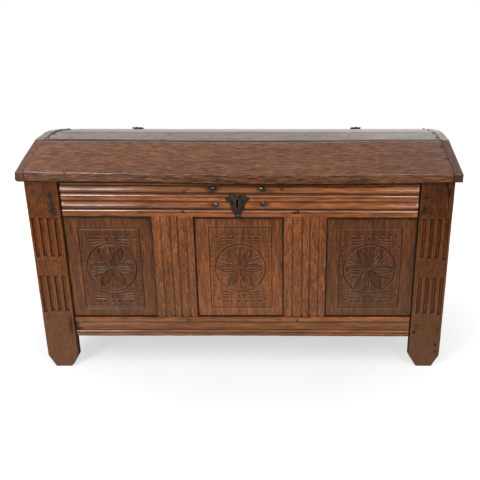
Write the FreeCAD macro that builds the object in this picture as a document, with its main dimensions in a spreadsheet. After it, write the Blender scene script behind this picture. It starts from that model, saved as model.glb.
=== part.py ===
import FreeCAD, Part
import os
import re
import Sketcher
from FreeCAD import Placement, Rotation, Vector

# Coffer chest of joined oak: a panelled carcase on extended stiles under a coopered lid of
# five boards, with iron strap hinges, a lock with its staple, and pegged joints.
#
# Row frame: +Z up, the front faces -Y, X runs from the left end to the right end as seen from
# the front.  The origin is on the floor under the middle of the whole chest.
# All lengths are in millimetres and all angles in degrees.

SIZES = {
    # Carcase
    "carcase_width": 1330,
    "carcase_depth": 616,
    "carcase_height": 636,
    "frame_thickness": 25,
    "rail_lift": 115,
    "bottom_rail_height": 70,
    "top_rail_height": 110,
    "stile_width": 107,
    "muntin_width": 134,
    "end_stile_width": 70,
    "end_muntin_width": 90,
    "foot_chamfer_inner": 31,
    "foot_chamfer_outer": 24,
    "foot_chamfer_rise": 41,
    # Joints of the frames
    "tenon_length": 34,
    "muntin_tenon_length": 26,
    "tenon_thickness": 7,
    "tenon_setback": 11.5,
    "mortise_play": 1,
    "groove_depth": 8,
    "peg_radius": 4.5,
    "peg_inset": 22,
    "peg_proud": 0.6,
    "upper_peg_lift": 65,
    "lower_peg_lift": 18,
    "bottom_peg_lift": 16,
    "bottom_peg_pitch": 36,
    "muntin_peg_offset": 28,
    "muntin_peg_lift": 15,
    # Panels
    "panel_recess": 9,
    "tongue_setback": 12,
    "tongue_thickness": 5,
    "tongue_play": 0.2,
    "panel_play": 0.5,
    "shadow_gap": 2.5,
    # Mouldings of the front rails and muntins
    "fillet_height": 10,
    "flat_depth": 1.2,
    "flat_height": 11,
    "quirk_height": 4,
    "quirk_depth": 3.5,
    "round_height": 19,
    "round_edge_depth": 2.6,
    "round_rise": 2.5,
    "hollow_height": 5,
    "hollow_edge_depth": 3,
    "hollow_rise": 2.2,
    "bead_height": 8,
    "bead_edge_depth": 2.3,
    "bead_rise": 2,
    "bottom_fillet_height": 16,
    "bottom_cove_height": 9,
    "muntin_round_width": 30,
    "muntin_hollow_width": 8,
    "muntin_bead_width": 14,
    # Flutes of the front stiles
    "flute_width": 10,
    "flute_depth": 5,
    "flute_end_rise": 4.6,
    "flute_inset": 21.5,
    "flute_pitch": 23.8,
    "flute_count": 4,
    "upper_flute_low": 391,
    "upper_flute_high": 521,
    "lower_flute_low": 201,
    "lower_flute_high": 326,
    # Carving of the front panels
    "border_half_width": 101,
    "border_half_height": 136,
    "border_line_width": 3,
    "border_line_depth": 1.6,
    "rosette_radius": 80.7,
    "rosette_ring_width": 2.4,
    "petal_root_radius": 8,
    "petal_tip_radius": 77,
    "petal_rise": 9.5,
    "petal_depth": 2,
    "petal_count": 6,
    # Floor of the carcase
    "ledge_drop": 4,
    "ledge_height": 16,
    "ledge_width": 26,
    "bearer_width": 60,
    "bearer_housing": 8,
    "floor_thickness": 16,
    "floor_gap": 0.6,
    # Lid
    "lid_end_overhang": 16,
    "lid_overhang": 20,
    "rim_gap": 0.3,
    "lid_nose_height": 29.5,
    "lower_run": 159.5,
    "lower_rise": 85,
    "upper_run": 92.5,
    "upper_rise": 25,
    "lid_board_thickness": 24,
    "lid_seat_width": 47,
    "gable_thickness": 29,
    "gable_rebate": 12,
    # Hinges
    "hinge_inset": 261,
    "strap_width": 36,
    "strap_thickness": 4,
    "strap_crown_reach": 14,
    "strap_tip_radius": 10,
    "back_strap_length": 94,
    "knuckle_radius": 8,
    "hinge_play": 0.5,
    "knuckle_gap": 0.3,
    "lid_knuckle_width": 12,
    "pin_radius": 4,
    "pin_play": 0.05,
    "pin_overhang": 2,
    # Lock
    "lock_offset": -9,
    "lock_plate_width": 170,
    "lock_plate_height": 84,
    "lock_plate_thickness": 2,
    "lock_nail_offset": 75,
    "lock_nail_drop": 21,
    "lock_nail_pitch": 50,
    "lock_case_half_width": 42,
    "lock_case_height": 78,
    "lock_case_depth": 14.5,
    "lock_wall": 2,
    "bolt_setback": 16,
    "bolt_thickness": 4,
    "bolt_height": 12,
    "bolt_drop": 22,
    "bolt_length": 40,
    "bolt_throw": 12,
    "bolt_clearance": 6,
    "bolt_talon_width": 6,
    "bolt_talon_height": 24,
    "guide_width": 5,
    "guide_lip": 3,
    "guide_play": 0.3,
    "spring_thickness": 0.8,
    "key_pin_radius": 2.5,
    "key_pin_length": 11,
    "keyhole_drop": 61,
    "keyhole_bow_radius": 4.4,
    "keyhole_slot_width": 6.4,
    "keyhole_slot_drop": 20,
    "staple_offset": 25,
    "staple_bar": 2.5,
    "staple_width": 4,
    "staple_gap": 7,
    "staple_drop": 28,
    "staple_hold": 18,
    "staple_slot_play": 1.5,
    # Escutcheon
    "shield_thickness": 1.6,
    "shield_height": 76,
    "shield_drop": 40,
    "shield_width": 47,
    "shield_shoulder": 44,
    "shield_neck": 55,
    "shield_neck_width": 42,
    "ear_span": 77,
    "ear_low": 61,
    "ear_tip_span": 62,
    "shield_tip_width": 13,
    "shield_tip_rise": 5,
    "shield_notch_depth": 5,
    "shield_notch_half_width": 5,
    "shield_side_rise": 4,
    "ear_hollow_rise": 2,
    "ear_end_rise": 4,
    "shield_nail_offset": 15,
    "shield_nail_lift": 63,
    "shield_tip_nail_lift": 8,
    # Nails
    "rose_head_radius": 7.5,
    "rose_head_rise": 4,
    "rose_shank": 4,
    "rose_length": 29,
    "small_head_radius": 4.5,
    "small_head_rise": 2,
    "small_shank": 2.5,
    "board_nail_length": 45,
    "lower_nail_first": 70,
    "lower_nail_second": 130,
    "upper_nail_inset": 24,
    "crown_nail_inset": 33,
    "back_nail_drop": 24,
    "back_nail_pitch": 29,
    "strap_nail_length": 20,
    "shield_nail_length": 9,
    "head_top_share": 0.4,
}

# Places and sizes that follow from the ones above, each worked out from those before it.
LAYOUT = {
    "opening_low": "rail_lift + bottom_rail_height",
    "top_rail_low": "carcase_height - top_rail_height",
    "opening_height": "top_rail_low - opening_low",
    "opening_middle": "opening_low + opening_height / 2",
    "opening_half": "carcase_width / 2 - stile_width",
    "front_panel_width": "(2 * opening_half - 2 * muntin_width) / 3",
    "front_muntin_centre": "(front_panel_width + muntin_width) / 2",
    "back_panel_width": "opening_half - muntin_width / 2",
    "end_half": "carcase_depth / 2 - frame_thickness - end_stile_width",
    "end_panel_width": "end_half - end_muntin_width / 2",
    "muntin_flat": "muntin_width / 2 - quirk_height - muntin_round_width"
                   " - muntin_hollow_width - muntin_bead_width / 2",
    "total_depth": "lid_overhang + carcase_depth + hinge_play + 2 * knuckle_radius",
    "front_y": "lid_overhang - total_depth / 2",
    "back_y": "front_y + carcase_depth",
    "centre_y": "(front_y + back_y) / 2",
    "inner_half": "carcase_width / 2 - frame_thickness",
    "inner_front_y": "front_y + frame_thickness",
    "inner_back_y": "back_y - frame_thickness",
    "ledge_low": "rail_lift + ledge_drop",
    "floor_low": "ledge_low + ledge_height",
    "lid_front_y": "front_y - lid_overhang",
    "lid_depth": "lid_overhang + carcase_depth",
    "lid_seat_z": "carcase_height + rim_gap",
    "board_half": "carcase_width / 2 + lid_end_overhang - gable_thickness",
    "lower_slope": "atan(lower_rise / lower_run) / 1deg",
    "upper_slope": "atan(upper_rise / upper_run) / 1deg",
    "lower_fold_y": "lower_run",
    "lower_fold_z": "lid_nose_height + lower_rise",
    "upper_fold_y": "lower_run + upper_run",
    "upper_fold_z": "lower_fold_z + upper_rise",
    "lower_mitre": "lid_board_thickness / cos((lower_slope - upper_slope) / 2)",
    "upper_mitre": "lid_board_thickness / cos(upper_slope / 2)",
    "lower_under_y": "lower_fold_y + lower_mitre * sin((lower_slope + upper_slope) / 2)",
    "lower_under_z": "lower_fold_z - lower_mitre * cos((lower_slope + upper_slope) / 2)",
    "upper_under_y": "upper_fold_y + upper_mitre * sin(upper_slope / 2)",
    "upper_under_z": "upper_fold_z - upper_mitre * cos(upper_slope / 2)",
    "seat_under_z": "lower_under_z - (lower_under_y - lid_seat_width) * tan(lower_slope)",
    "hinge_half_spacing": "carcase_width / 2 - hinge_inset",
    "hinge_y": "back_y + hinge_play + knuckle_radius",
    "hinge_z": "carcase_height + rim_gap / 2",
    "knuckle_clear": "knuckle_radius + hinge_play",
    "lock_left": "lock_offset - lock_case_half_width",
    "lock_right": "lock_offset + lock_case_half_width",
    "lock_case_low": "carcase_height - lock_case_height",
    "lock_case_y": "inner_front_y - lock_case_depth",
    "staple_x": "lock_offset + staple_offset",
    "staple_low": "carcase_height - staple_drop",
    "bolt_y": "front_y + bolt_setback",
    "bolt_low": "carcase_height - bolt_drop",
    "bolt_right": "staple_x - staple_width / 2 - bolt_clearance",
    "bolt_left": "bolt_right - bolt_length",
    "bolt_middle_y": "bolt_y + bolt_thickness / 2",
    "keyhole_z": "carcase_height - keyhole_drop",
    "shield_low": "carcase_height - shield_drop - shield_height",
}


def bound(text):
    """Give every named size in an expression the name of the object that holds it."""
    def owner(match):
        word = match.group(0)
        if word in SIZES:
            return "Sizes." + word
        if word in LAYOUT:
            return "Layout." + word
        return word
    return re.sub(r"[a-z_]+", owner, str(text))


def bind(thing, size, text):
    """Tie one property of an object, or one part of it, to an expression of named sizes."""
    thing.setExpression(size, bound(text))


def value(text):
    """Work out an expression of named sizes now, to draw a sketch near its final form."""
    return float(layout.evalExpression(bound(text)))


def make_sheet():
    """Write the driving dimensions, one named cell for each."""
    sheet = doc.addObject("Spreadsheet::Sheet", "Sizes")
    for row, (name, size) in enumerate(SIZES.items(), start=1):
        sheet.set(f"A{row}", name)
        sheet.set(f"B{row}", str(size))
        sheet.setAlias(f"B{row}", name)
    doc.recompute()


def make_layout():
    """Hold the derived places and sizes, each bound to the sheet."""
    holder = doc.addObject("App::VarSet", "Layout")
    for name, text in LAYOUT.items():
        holder.addProperty("App::PropertyFloat", name)
        bind(holder, name, text)
        doc.recompute()
    return holder


# ---------------------------------------------------------------- drawing and solid helpers

def place(thing, x="0", y="0", z="0", axis=Vector(0, 0, 1), turn=0):
    """Turn an object about an axis of the row and bind where it stands."""
    thing.Placement = Placement(Vector(), Rotation(axis, turn))
    for letter, where in zip("xyz", (x, y, z)):
        bind(thing, "Placement.Base." + letter, where)


def new_body(label, x="0", y="0", z="0", turn=0):
    """Start a body whose own frame stands at a named place of the chest."""
    body = doc.addObject("PartDesign::Body", label)
    place(body, x, y, z, turn=turn)
    return body


def new_sketch(body, plane, offset="0"):
    """Start a sketch on one of the body's origin planes, moved along the plane's normal."""
    support = next(item for item in body.Origin.OriginFeatures if item.Role == plane)
    sketch = body.newObject("Sketcher::SketchObject", body.Label + "_sketch")
    sketch.AttachmentSupport = [(support, "")]
    sketch.MapMode = "FlatFace"
    bind(sketch, "AttachmentOffset.Base.z", offset)
    return sketch


def add_edge(sketch, here, there, rise):
    """Add one edge and say which of its ends, 1 or 2, lies at its start.

    An edge with a rise is an arc that bulges to the right of its direction by that much.
    Every arc is drawn anticlockwise, so one that bulges to the left starts at its far end.
    """
    start = Vector(*here, 0)
    end = Vector(*there, 0)
    if not rise:
        sketch.addGeometry(Part.LineSegment(start, end), False)
        return 1
    bulge = value(rise)
    run = end - start
    middle = (start + end) / 2 + Vector(run.y, -run.x, 0).normalize() * bulge
    first, last = (start, end) if bulge > 0 else (end, start)
    sketch.addGeometry(Part.Arc(first, middle, last), False)
    return 1 if bulge > 0 else 2


def draw_loop(sketch, corners):
    """Draw a closed loop through corners (across, up[, rise of the edge that follows])."""
    base = sketch.GeometryCount
    places = [(value(corner[0]), value(corner[1])) for corner in corners]
    rises = [corner[2] if len(corner) > 2 else None for corner in corners]
    starts = []
    for index, here in enumerate(places):
        there = places[(index + 1) % len(places)]
        starts.append(add_edge(sketch, here, there, rises[index]))
    for index, corner in enumerate(corners):
        after = (index + 1) % len(corners)
        edge = base + index
        sketch.addConstraint(
            Sketcher.Constraint("Coincident", edge, 3 - starts[index], base + after, starts[after]))
        for kind, where in zip(("DistanceX", "DistanceY"), corner):
            added = sketch.addConstraint(
                Sketcher.Constraint(kind, -1, 1, edge, starts[index], value(where)))
            bind(sketch, f"Constraints[{added}]", where)
        if rises[index]:
            across = f"(({corners[after][0]}) - ({corner[0]}))"
            up = f"(({corners[after][1]}) - ({corner[1]}))"
            rise = f"abs({rises[index]})"
            radius = f"({across}^2 + {up}^2) / (8 * {rise}) + {rise} / 2"
            added = sketch.addConstraint(Sketcher.Constraint("Radius", edge, value(radius)))
            bind(sketch, f"Constraints[{added}]", radius)


def draw_circle(sketch, radius, across="0", up="0"):
    """Draw a circle about a named point."""
    centre = Vector(value(across), value(up), 0)
    edge = sketch.addGeometry(Part.Circle(centre, Vector(0, 0, 1), value(radius)), False)
    for kind, where in zip(("DistanceX", "DistanceY"), (across, up)):
        added = sketch.addConstraint(Sketcher.Constraint(kind, -1, 1, edge, 3, value(where)))
        bind(sketch, f"Constraints[{added}]", where)
    added = sketch.addConstraint(Sketcher.Constraint("Radius", edge, value(radius)))
    bind(sketch, f"Constraints[{added}]", radius)


def rectangle(across, up):
    """Corners of a rectangle from its low and high sides."""
    return [(across[0], up[0]), (across[1], up[0]), (across[1], up[1]), (across[0], up[1])]


def both_ways(half):
    """Low and high side of a stretch centred on zero."""
    return f"-({half})", half


def pad(body, sketch, length, reverse=False):
    """Raise a sketch into wood or iron."""
    feature = body.newObject("PartDesign::Pad", body.Label + "_pad")
    feature.Profile = sketch
    feature.Reversed = reverse
    bind(feature, "Length", length)
    return feature


def pocket(body, sketch, depth, reverse=False):
    """Cut a sketch into the body, against the sketch's normal unless reversed."""
    feature = body.newObject("PartDesign::Pocket", body.Label + "_pocket")
    feature.Profile = sketch
    feature.Reversed = reverse
    bind(feature, "Length", depth)
    return feature


def block(body, across, deep, up):
    """Add a squared block between low and high sides along the body's x, y and z."""
    sketch = new_sketch(body, "XY_Plane", up[0])
    draw_loop(sketch, rectangle(across, deep))
    pad(body, sketch, f"({up[1]}) - ({up[0]})")


def mortise(body, across, deep, up):
    """Cut a squared hole or groove between low and high sides along the body's x, y and z."""
    sketch = new_sketch(body, "XY_Plane", up[0])
    draw_loop(sketch, rectangle(across, deep))
    pocket(body, sketch, f"({up[1]}) - ({up[0]})", reverse=True)


def box(label, across, deep, up):
    """Make a plain squared piece between low and high sides along the row's x, y and z."""
    piece = doc.addObject("Part::Box", label)
    place(piece, across[0], deep[0], up[0])
    for size, (low, high) in zip(("Length", "Width", "Height"), (across, deep, up)):
        bind(piece, size, f"({high}) - ({low})")
    return piece


def group(label, pieces):
    """Gather loose pieces, such as nails of one kind, as separate solids of one node."""
    gathered = doc.addObject("Part::Compound", label)
    gathered.Links = pieces
    return gathered


def mirrored(label, source, normal=Vector(1, 0, 0), y="0"):
    """Make the opposite hand of a piece, across the chest's middle or a plane at a given y."""
    other = doc.addObject("Part::Mirroring", label)
    other.Source = source
    other.Normal = normal
    bind(other, "Base.y", y)
    return other


def fitted(label, blank, *fixings):
    """Cut the holes of pegs, nails or staples in a piece."""
    piece = doc.addObject("Part::Cut", label)
    piece.Base = blank
    piece.Tool = fixings[0] if len(fixings) == 1 else group(label + "_fixings", list(fixings))
    return piece


# ---------------------------------------------------------------- frames of the carcase

# Depth of each moulding's edges behind the face, and how far its arc rises towards the face.
MOULDINGS = {
    "fillet": ("0", None),
    "flat": ("flat_depth", None),
    "quirk": ("quirk_depth", None),
    "round": ("round_edge_depth", "round_rise"),
    "hollow": ("hollow_edge_depth", "-hollow_rise"),
    "bead": ("bead_edge_depth", "bead_rise"),
}

MOTIF = [
    ("quirk", "quirk_height"),
    ("round", "round_height"),
    ("hollow", "hollow_height"),
    ("bead", "bead_height"),
]

TOP_RAIL_MOULDING = [("fillet", "fillet_height"), *MOTIF, ("flat", "flat_height"), *MOTIF, ("flat", None)]

BOTTOM_RAIL_MOULDING = [
    ("fillet", "bottom_fillet_height"),
    ("hollow", "bottom_cove_height"),
    ("round", "round_height"),
    ("hollow", "hollow_height"),
    ("bead", "bead_height"),
    ("quirk", "quirk_height"),
    ("flat", None),
]

MUNTIN_SIDE = [
    ("fillet", "muntin_flat"),
    ("quirk", "quirk_height"),
    ("round", "muntin_round_width"),
    ("hollow", "muntin_hollow_width"),
]

MUNTIN_MOULDING = [*MUNTIN_SIDE, ("bead", "muntin_bead_width"), *reversed(MUNTIN_SIDE[1:]), ("fillet", None)]


def moulded_face(pieces, length):
    """Corners (along, depth, rise) of a moulded face; the last piece takes what is left."""
    corners = []
    along = "0"
    for kind, width in pieces:
        depth, rise = MOULDINGS[kind]
        after = f"{along} + {width}" if width else length
        corners.append((along, depth, rise))
        corners.append((after, depth, None))
        along = after
    return corners


def build_stile(label, x, y, turn, width, footed):
    """A stile from its grooved edge at x = 0 outwards, with its outer face at y = 0."""
    body = new_body(label, x, y, turn=turn)
    if footed:
        outline = [
            ("foot_chamfer_inner", "0"),
            (f"{width} - foot_chamfer_outer", "0"),
            (width, "foot_chamfer_rise"),
            (width, "carcase_height"),
            ("0", "carcase_height"),
            ("0", "foot_chamfer_rise"),
        ]
    else:
        outline = rectangle(("0", width), ("rail_lift", "carcase_height"))
    sketch = new_sketch(body, "XZ_Plane")
    draw_loop(sketch, outline)
    pad(body, sketch, "frame_thickness", reverse=True)
    for low, height in (("rail_lift", "bottom_rail_height"), ("top_rail_low", "top_rail_height")):
        mortise(body, ("0", "tenon_length + mortise_play"), TENON_DEEP,
                (f"{low} + groove_depth", f"{low} + {height} - groove_depth"))
    mortise(body, ("0", "groove_depth"), GROOVE_DEEP,
            ("opening_low - groove_depth", "top_rail_low + groove_depth"))
    return body


def cut_flutes(body, low, high):
    """Cut one row of round-ended flutes in a stile's face."""
    left = "flute_inset - flute_width / 2"
    right = "flute_inset + flute_width / 2"
    sketch = new_sketch(body, "XZ_Plane")
    draw_loop(sketch, [
        (left, f"{low} + flute_width / 2", "flute_end_rise"),
        (right, f"{low} + flute_width / 2"),
        (right, f"{high} - flute_width / 2", "flute_end_rise"),
        (left, f"{high} - flute_width / 2"),
    ])
    flute = pocket(body, sketch, "flute_depth")
    row = body.newObject("PartDesign::LinearPattern", body.Label + "_flutes")
    row.Originals = [flute]
    row.Direction = (sketch, ["H_Axis"])
    bind(row, "Occurrences", "flute_count")
    bind(row, "Length", "flute_pitch * (flute_count - 1)")
    body.Tip = row


def build_rail(label, x, y, z, turn, half, height, moulding, groove_up, muntins, muntin_width):
    """A rail with a tenon at each end, a panel groove and a mortise for each muntin."""
    body = new_body(label, x, y, z, turn)
    corners = [("frame_thickness", "0"), ("frame_thickness", height)]
    if moulding:
        for along, depth, rise in moulded_face(moulding, height):
            corners.append((depth, f"{height} - ({along})", rise))
    else:
        corners += [("0", height), ("0", "0")]
    sketch = new_sketch(body, "YZ_Plane", f"-({half})")
    draw_loop(sketch, corners)
    pad(body, sketch, f"2 * ({half})")
    for side in ((half, f"{half} + tenon_length"), (f"-({half}) - tenon_length", f"-({half})")):
        block(body, side, TENON_DEEP, ("groove_depth", f"{height} - groove_depth"))
    if groove_up:
        groove = (f"{height} - groove_depth", height)
        socket = (f"{height} - muntin_tenon_length - mortise_play", height)
    else:
        groove = ("0", "groove_depth")
        socket = ("0", "muntin_tenon_length + mortise_play")
    mortise(body, both_ways(half), GROOVE_DEEP, groove)
    cheek = f"({muntin_width} / 2 - groove_depth)"
    for centre in muntins:
        mortise(body, (f"{centre} - {cheek}", f"{centre} + {cheek}"), TENON_DEEP, socket)
    return body


def build_muntin(label, x, y, turn, width, moulding):
    """An upright between two panels, from shoulder to shoulder, tenoned into both rails."""
    body = new_body(label, x, y, "opening_low", turn)
    if moulding:
        corners = [(f"{along} - {width} / 2", depth, rise)
                   for along, depth, rise in moulded_face(moulding, width)]
    else:
        corners = [(f"-{width} / 2", "0"), (f"{width} / 2", "0")]
    corners += [(f"{width} / 2", "frame_thickness"), (f"-{width} / 2", "frame_thickness")]
    sketch = new_sketch(body, "XY_Plane")
    draw_loop(sketch, corners)
    pad(body, sketch, "opening_height")
    cheek = f"{width} / 2 - groove_depth"
    for up in (("-muntin_tenon_length", "0"), ("opening_height", "opening_height + muntin_tenon_length")):
        block(body, both_ways(cheek), TENON_DEEP, up)
    for side in ((cheek, f"{width} / 2"), (f"-{width} / 2", f"-({cheek})")):
        mortise(body, side, GROOVE_DEEP, ("0", "opening_height"))
    return body


def build_panel(label, x, y, turn, width):
    """A panel with a raised field in front of the tongues that run in the frame's grooves."""
    body = new_body(label, x, y, "opening_middle", turn)
    reach = "groove_depth - panel_play"
    block(body, both_ways(f"{width} / 2 + {reach}"),
          ("tongue_setback", "tongue_setback + tongue_thickness"),
          both_ways(f"opening_height / 2 + {reach}"))
    block(body, both_ways(f"{width} / 2 - shadow_gap"), ("panel_recess", "tongue_setback"),
          both_ways("opening_height / 2 - shadow_gap"))
    return body


def carve_panel(body):
    """Cut the border line, the compass-drawn ring and its six petals in a panel's field."""
    border = new_sketch(body, "XZ_Plane", "-panel_recess")
    for inset in ("0", "border_line_width"):
        draw_loop(border, rectangle(both_ways(f"border_half_width - {inset}"),
                                    both_ways(f"border_half_height - {inset}")))
    pocket(body, border, "border_line_depth")
    ring = new_sketch(body, "XZ_Plane", "-panel_recess")
    draw_circle(ring, "rosette_radius")
    draw_circle(ring, "rosette_radius - rosette_ring_width")
    pocket(body, ring, "border_line_depth")
    petal = new_sketch(body, "XZ_Plane", "-panel_recess")
    draw_loop(petal, [("petal_root_radius", "0", "petal_rise"), ("petal_tip_radius", "0", "petal_rise")])
    hollow = pocket(body, petal, "petal_depth")
    rosette = body.newObject("PartDesign::PolarPattern", body.Label + "_rosette")
    rosette.Originals = [hollow]
    rosette.Axis = (petal, ["N_Axis"])
    rosette.Angle = 360
    bind(rosette, "Occurrences", "petal_count")
    body.Tip = rosette


TENON_DEEP = ("tenon_setback", "tenon_setback + tenon_thickness")
GROOVE_DEEP = ("tongue_setback - tongue_play", "tongue_setback + tongue_thickness + tongue_play")


def make_peg(x, y, z, axis, turn):
    """A riven peg from just proud of the outer face to the inner face of a frame."""
    peg = doc.addObject("Part::Prism", "peg")
    peg.Polygon = 8
    bind(peg, "Circumradius", "peg_radius")
    bind(peg, "Height", "frame_thickness + peg_proud")
    place(peg, x, y, z, axis, turn)
    return peg


def make_pegs():
    """Pegs through every tenon: those of the right half, their mirror images and the middle ones."""
    stile_lifts = [
        "rail_lift + bottom_peg_lift",
        "rail_lift + bottom_peg_lift + bottom_peg_pitch",
        "top_rail_low + lower_peg_lift",
        "top_rail_low + upper_peg_lift",
    ]
    muntin_lifts = ["opening_low - muntin_peg_lift", "top_rail_low + muntin_peg_lift"]
    inwards = (Vector(1, 0, 0), -90)
    forwards = (Vector(1, 0, 0), 90)
    leftwards = (Vector(0, 1, 0), -90)
    stile_x = "opening_half + peg_inset"
    muntin_x = "front_muntin_centre - muntin_peg_offset"
    front = "front_y - peg_proud"
    back = "back_y + peg_proud"
    outer = "carcase_width / 2 + peg_proud"
    right = []
    for lift in stile_lifts:
        right.append(make_peg(stile_x, front, lift, *inwards))
        right.append(make_peg(stile_x, back, lift, *forwards))
        for side in "+-":
            right.append(make_peg(outer, f"centre_y {side} (end_half + peg_inset)", lift, *leftwards))
    for lift in muntin_lifts:
        right.append(make_peg(muntin_x, front, lift, *inwards))
        right.append(make_peg(outer, "centre_y", lift, *leftwards))
    middle = [make_peg("0", back, lift, *forwards) for lift in muntin_lifts]
    pegs_right = group("pegs_right", right)
    pegs_left = mirrored("pegs_left", pegs_right)
    return pegs_right, group("frame_pegs", [pegs_right, pegs_left, *middle])


def build_front(pegs_right, pegs, lock_fixings):
    """The fluted stiles, moulded rails and muntins and the three carved panels."""
    stile = build_stile("front_stile", "opening_half", "front_y", 0, "stile_width", True)
    cut_flutes(stile, "upper_flute_low", "upper_flute_high")
    cut_flutes(stile, "lower_flute_low", "lower_flute_high")
    stile_right = fitted("front_stile_right", stile, pegs_right)
    muntins = ("front_muntin_centre", "-front_muntin_centre")
    top = build_rail("front_top_rail_blank", "0", "front_y", "top_rail_low", 0, "opening_half",
                     "top_rail_height", TOP_RAIL_MOULDING, False, muntins, "muntin_width")
    cut_lock_seat(top)
    low = build_rail("front_bottom_rail_blank", "0", "front_y", "rail_lift", 0, "opening_half",
                     "bottom_rail_height", BOTTOM_RAIL_MOULDING, True, muntins, "muntin_width")
    house_bearer(low)
    muntin = build_muntin("front_muntin", "front_muntin_centre", "front_y", 0, "muntin_width",
                          MUNTIN_MOULDING)
    muntin_right = fitted("front_muntin_right", muntin, pegs_right)
    pieces = {
        "front_stile_right": stile_right,
        "front_stile_left": mirrored("front_stile_left", stile_right),
        "front_top_rail": fitted("front_top_rail", top, pegs, *lock_fixings),
        "front_bottom_rail": fitted("front_bottom_rail", low, pegs),
        "front_muntin_right": muntin_right,
        "front_muntin_left": mirrored("front_muntin_left", muntin_right),
    }
    for side, steps in (("left", -1), ("centre", 0), ("right", 1)):
        label = f"front_panel_{side}"
        place_x = f"{steps} * (front_panel_width + muntin_width)"
        pieces[label] = build_panel(label, place_x, "front_y", 0, "front_panel_width")
        carve_panel(pieces[label])
    return pieces


def build_back(pegs_right, pegs, strap_nails):
    """The plain frame of the back: two footed stiles, two rails, a muntin and two panels."""
    stile = build_stile("back_stile", "-opening_half", "back_y", 180, "stile_width", True)
    stile_right = fitted("back_stile_right", mirrored("back_stile_blank", stile), pegs_right)
    top = build_rail("back_top_rail_blank", "0", "back_y", "top_rail_low", 180, "opening_half",
                     "top_rail_height", None, False, ("0",), "muntin_width")
    low = build_rail("back_bottom_rail_blank", "0", "back_y", "rail_lift", 180, "opening_half",
                     "bottom_rail_height", None, True, ("0",), "muntin_width")
    house_bearer(low)
    muntin = build_muntin("back_muntin_blank", "0", "back_y", 180, "muntin_width", None)
    panel = build_panel("back_panel_right", "opening_half - back_panel_width / 2", "back_y", 180,
                        "back_panel_width")
    return {
        "back_stile_right": stile_right,
        "back_stile_left": mirrored("back_stile_left", stile_right),
        "back_top_rail": fitted("back_top_rail", top, pegs, strap_nails),
        "back_bottom_rail": fitted("back_bottom_rail", low, pegs),
        "back_muntin": fitted("back_muntin", muntin, pegs),
        "back_panel_right": panel,
        "back_panel_left": mirrored("back_panel_left", panel),
    }


def build_ends(pegs_right):
    """The plain frame of each end, between the front and the back: built right, mirrored left."""
    face = "carcase_width / 2"
    back_stile = build_stile("end_back_stile", face, "centre_y + end_half", 90,
                             "end_stile_width", False)
    front_stile = mirrored("end_front_stile", back_stile, Vector(0, 1, 0), "centre_y")
    rails = {}
    for name, low, height, groove_up in (
            ("end_top_rail", "top_rail_low", "top_rail_height", False),
            ("end_bottom_rail", "rail_lift", "bottom_rail_height", True)):
        rails[name] = build_rail(name, face, "centre_y", low, 90, "end_half", height, None,
                                 groove_up, ("0",), "end_muntin_width")
    muntin = build_muntin("end_muntin", face, "centre_y", 90, "end_muntin_width", None)
    panel_middle = "(end_panel_width + end_muntin_width) / 2"
    right = {
        "back_stile": fitted("right_end_back_stile", back_stile, pegs_right),
        "front_stile": fitted("right_end_front_stile", front_stile, pegs_right),
        "top_rail": fitted("right_end_top_rail", rails["end_top_rail"], pegs_right),
        "bottom_rail": fitted("right_end_bottom_rail", rails["end_bottom_rail"], pegs_right),
        "muntin": fitted("right_end_muntin", muntin, pegs_right),
        "front_panel": build_panel("right_end_front_panel", face, f"centre_y - {panel_middle}", 90,
                                   "end_panel_width"),
        "back_panel": build_panel("right_end_back_panel", face, f"centre_y + {panel_middle}", 90,
                                  "end_panel_width"),
    }
    pieces = {}
    for name, piece in right.items():
        pieces[f"right_end_{name}"] = piece
        pieces[f"left_end_{name}"] = mirrored(f"left_end_{name}", piece)
    return pieces


def house_bearer(rail):
    """Cut the housing for the end of the floor's bearer in the back face of a bottom rail."""
    mortise(rail, both_ways("bearer_width / 2"),
            ("frame_thickness - bearer_housing", "frame_thickness"),
            ("ledge_low - rail_lift", "floor_low - rail_lift"))


def build_floor():
    """Ledges on the ends, a bearer across the middle and three long boards on them."""
    ledge = box("bottom_ledge_right", ("inner_half - ledge_width", "inner_half"),
                ("inner_front_y", "inner_back_y"), ("ledge_low", "floor_low"))
    pieces = {
        "bottom_ledge_right": ledge,
        "bottom_ledge_left": mirrored("bottom_ledge_left", ledge),
        "bottom_bearer": box("bottom_bearer", both_ways("bearer_width / 2"),
                             ("inner_front_y - bearer_housing", "inner_back_y + bearer_housing"),
                             ("ledge_low", "floor_low")),
    }
    boards = ("front", "middle", "back")
    width = f"(inner_back_y - inner_front_y) / {len(boards)}"
    for index, name in enumerate(boards):
        label = f"bottom_board_{name}"
        deep = (f"inner_front_y + {index} * {width} + floor_gap / 2",
                f"inner_front_y + {index + 1} * {width} - floor_gap / 2")
        pieces[label] = box(label, both_ways("inner_half - floor_gap / 2"), deep,
                            ("floor_low", "floor_low + floor_thickness"))
    return pieces


# ---------------------------------------------------------------- nails

def make_nail(x, y, z, head_radius, head_rise, shank, length, axis, turn):
    """A forged nail: a tapered head on its surface and a square shank below it."""
    head = doc.addObject("Part::Cone", "nail_head")
    bind(head, "Radius1", head_radius)
    bind(head, "Radius2", f"{head_radius} * head_top_share")
    bind(head, "Height", head_rise)
    stem = box("nail_shank", both_ways(f"{shank} / 2"), both_ways(f"{shank} / 2"),
               (f"-({length})", "0"))
    nail = doc.addObject("Part::Fuse", "nail")
    nail.Base = head
    nail.Tool = stem
    place(nail, x, y, z, axis, turn)
    return nail


def small_nail(x, y, z, length, axis=Vector(1, 0, 0), turn=90):
    """A small clout-headed nail."""
    return make_nail(x, y, z, "small_head_radius", "small_head_rise", "small_shank", length, axis, turn)


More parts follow.
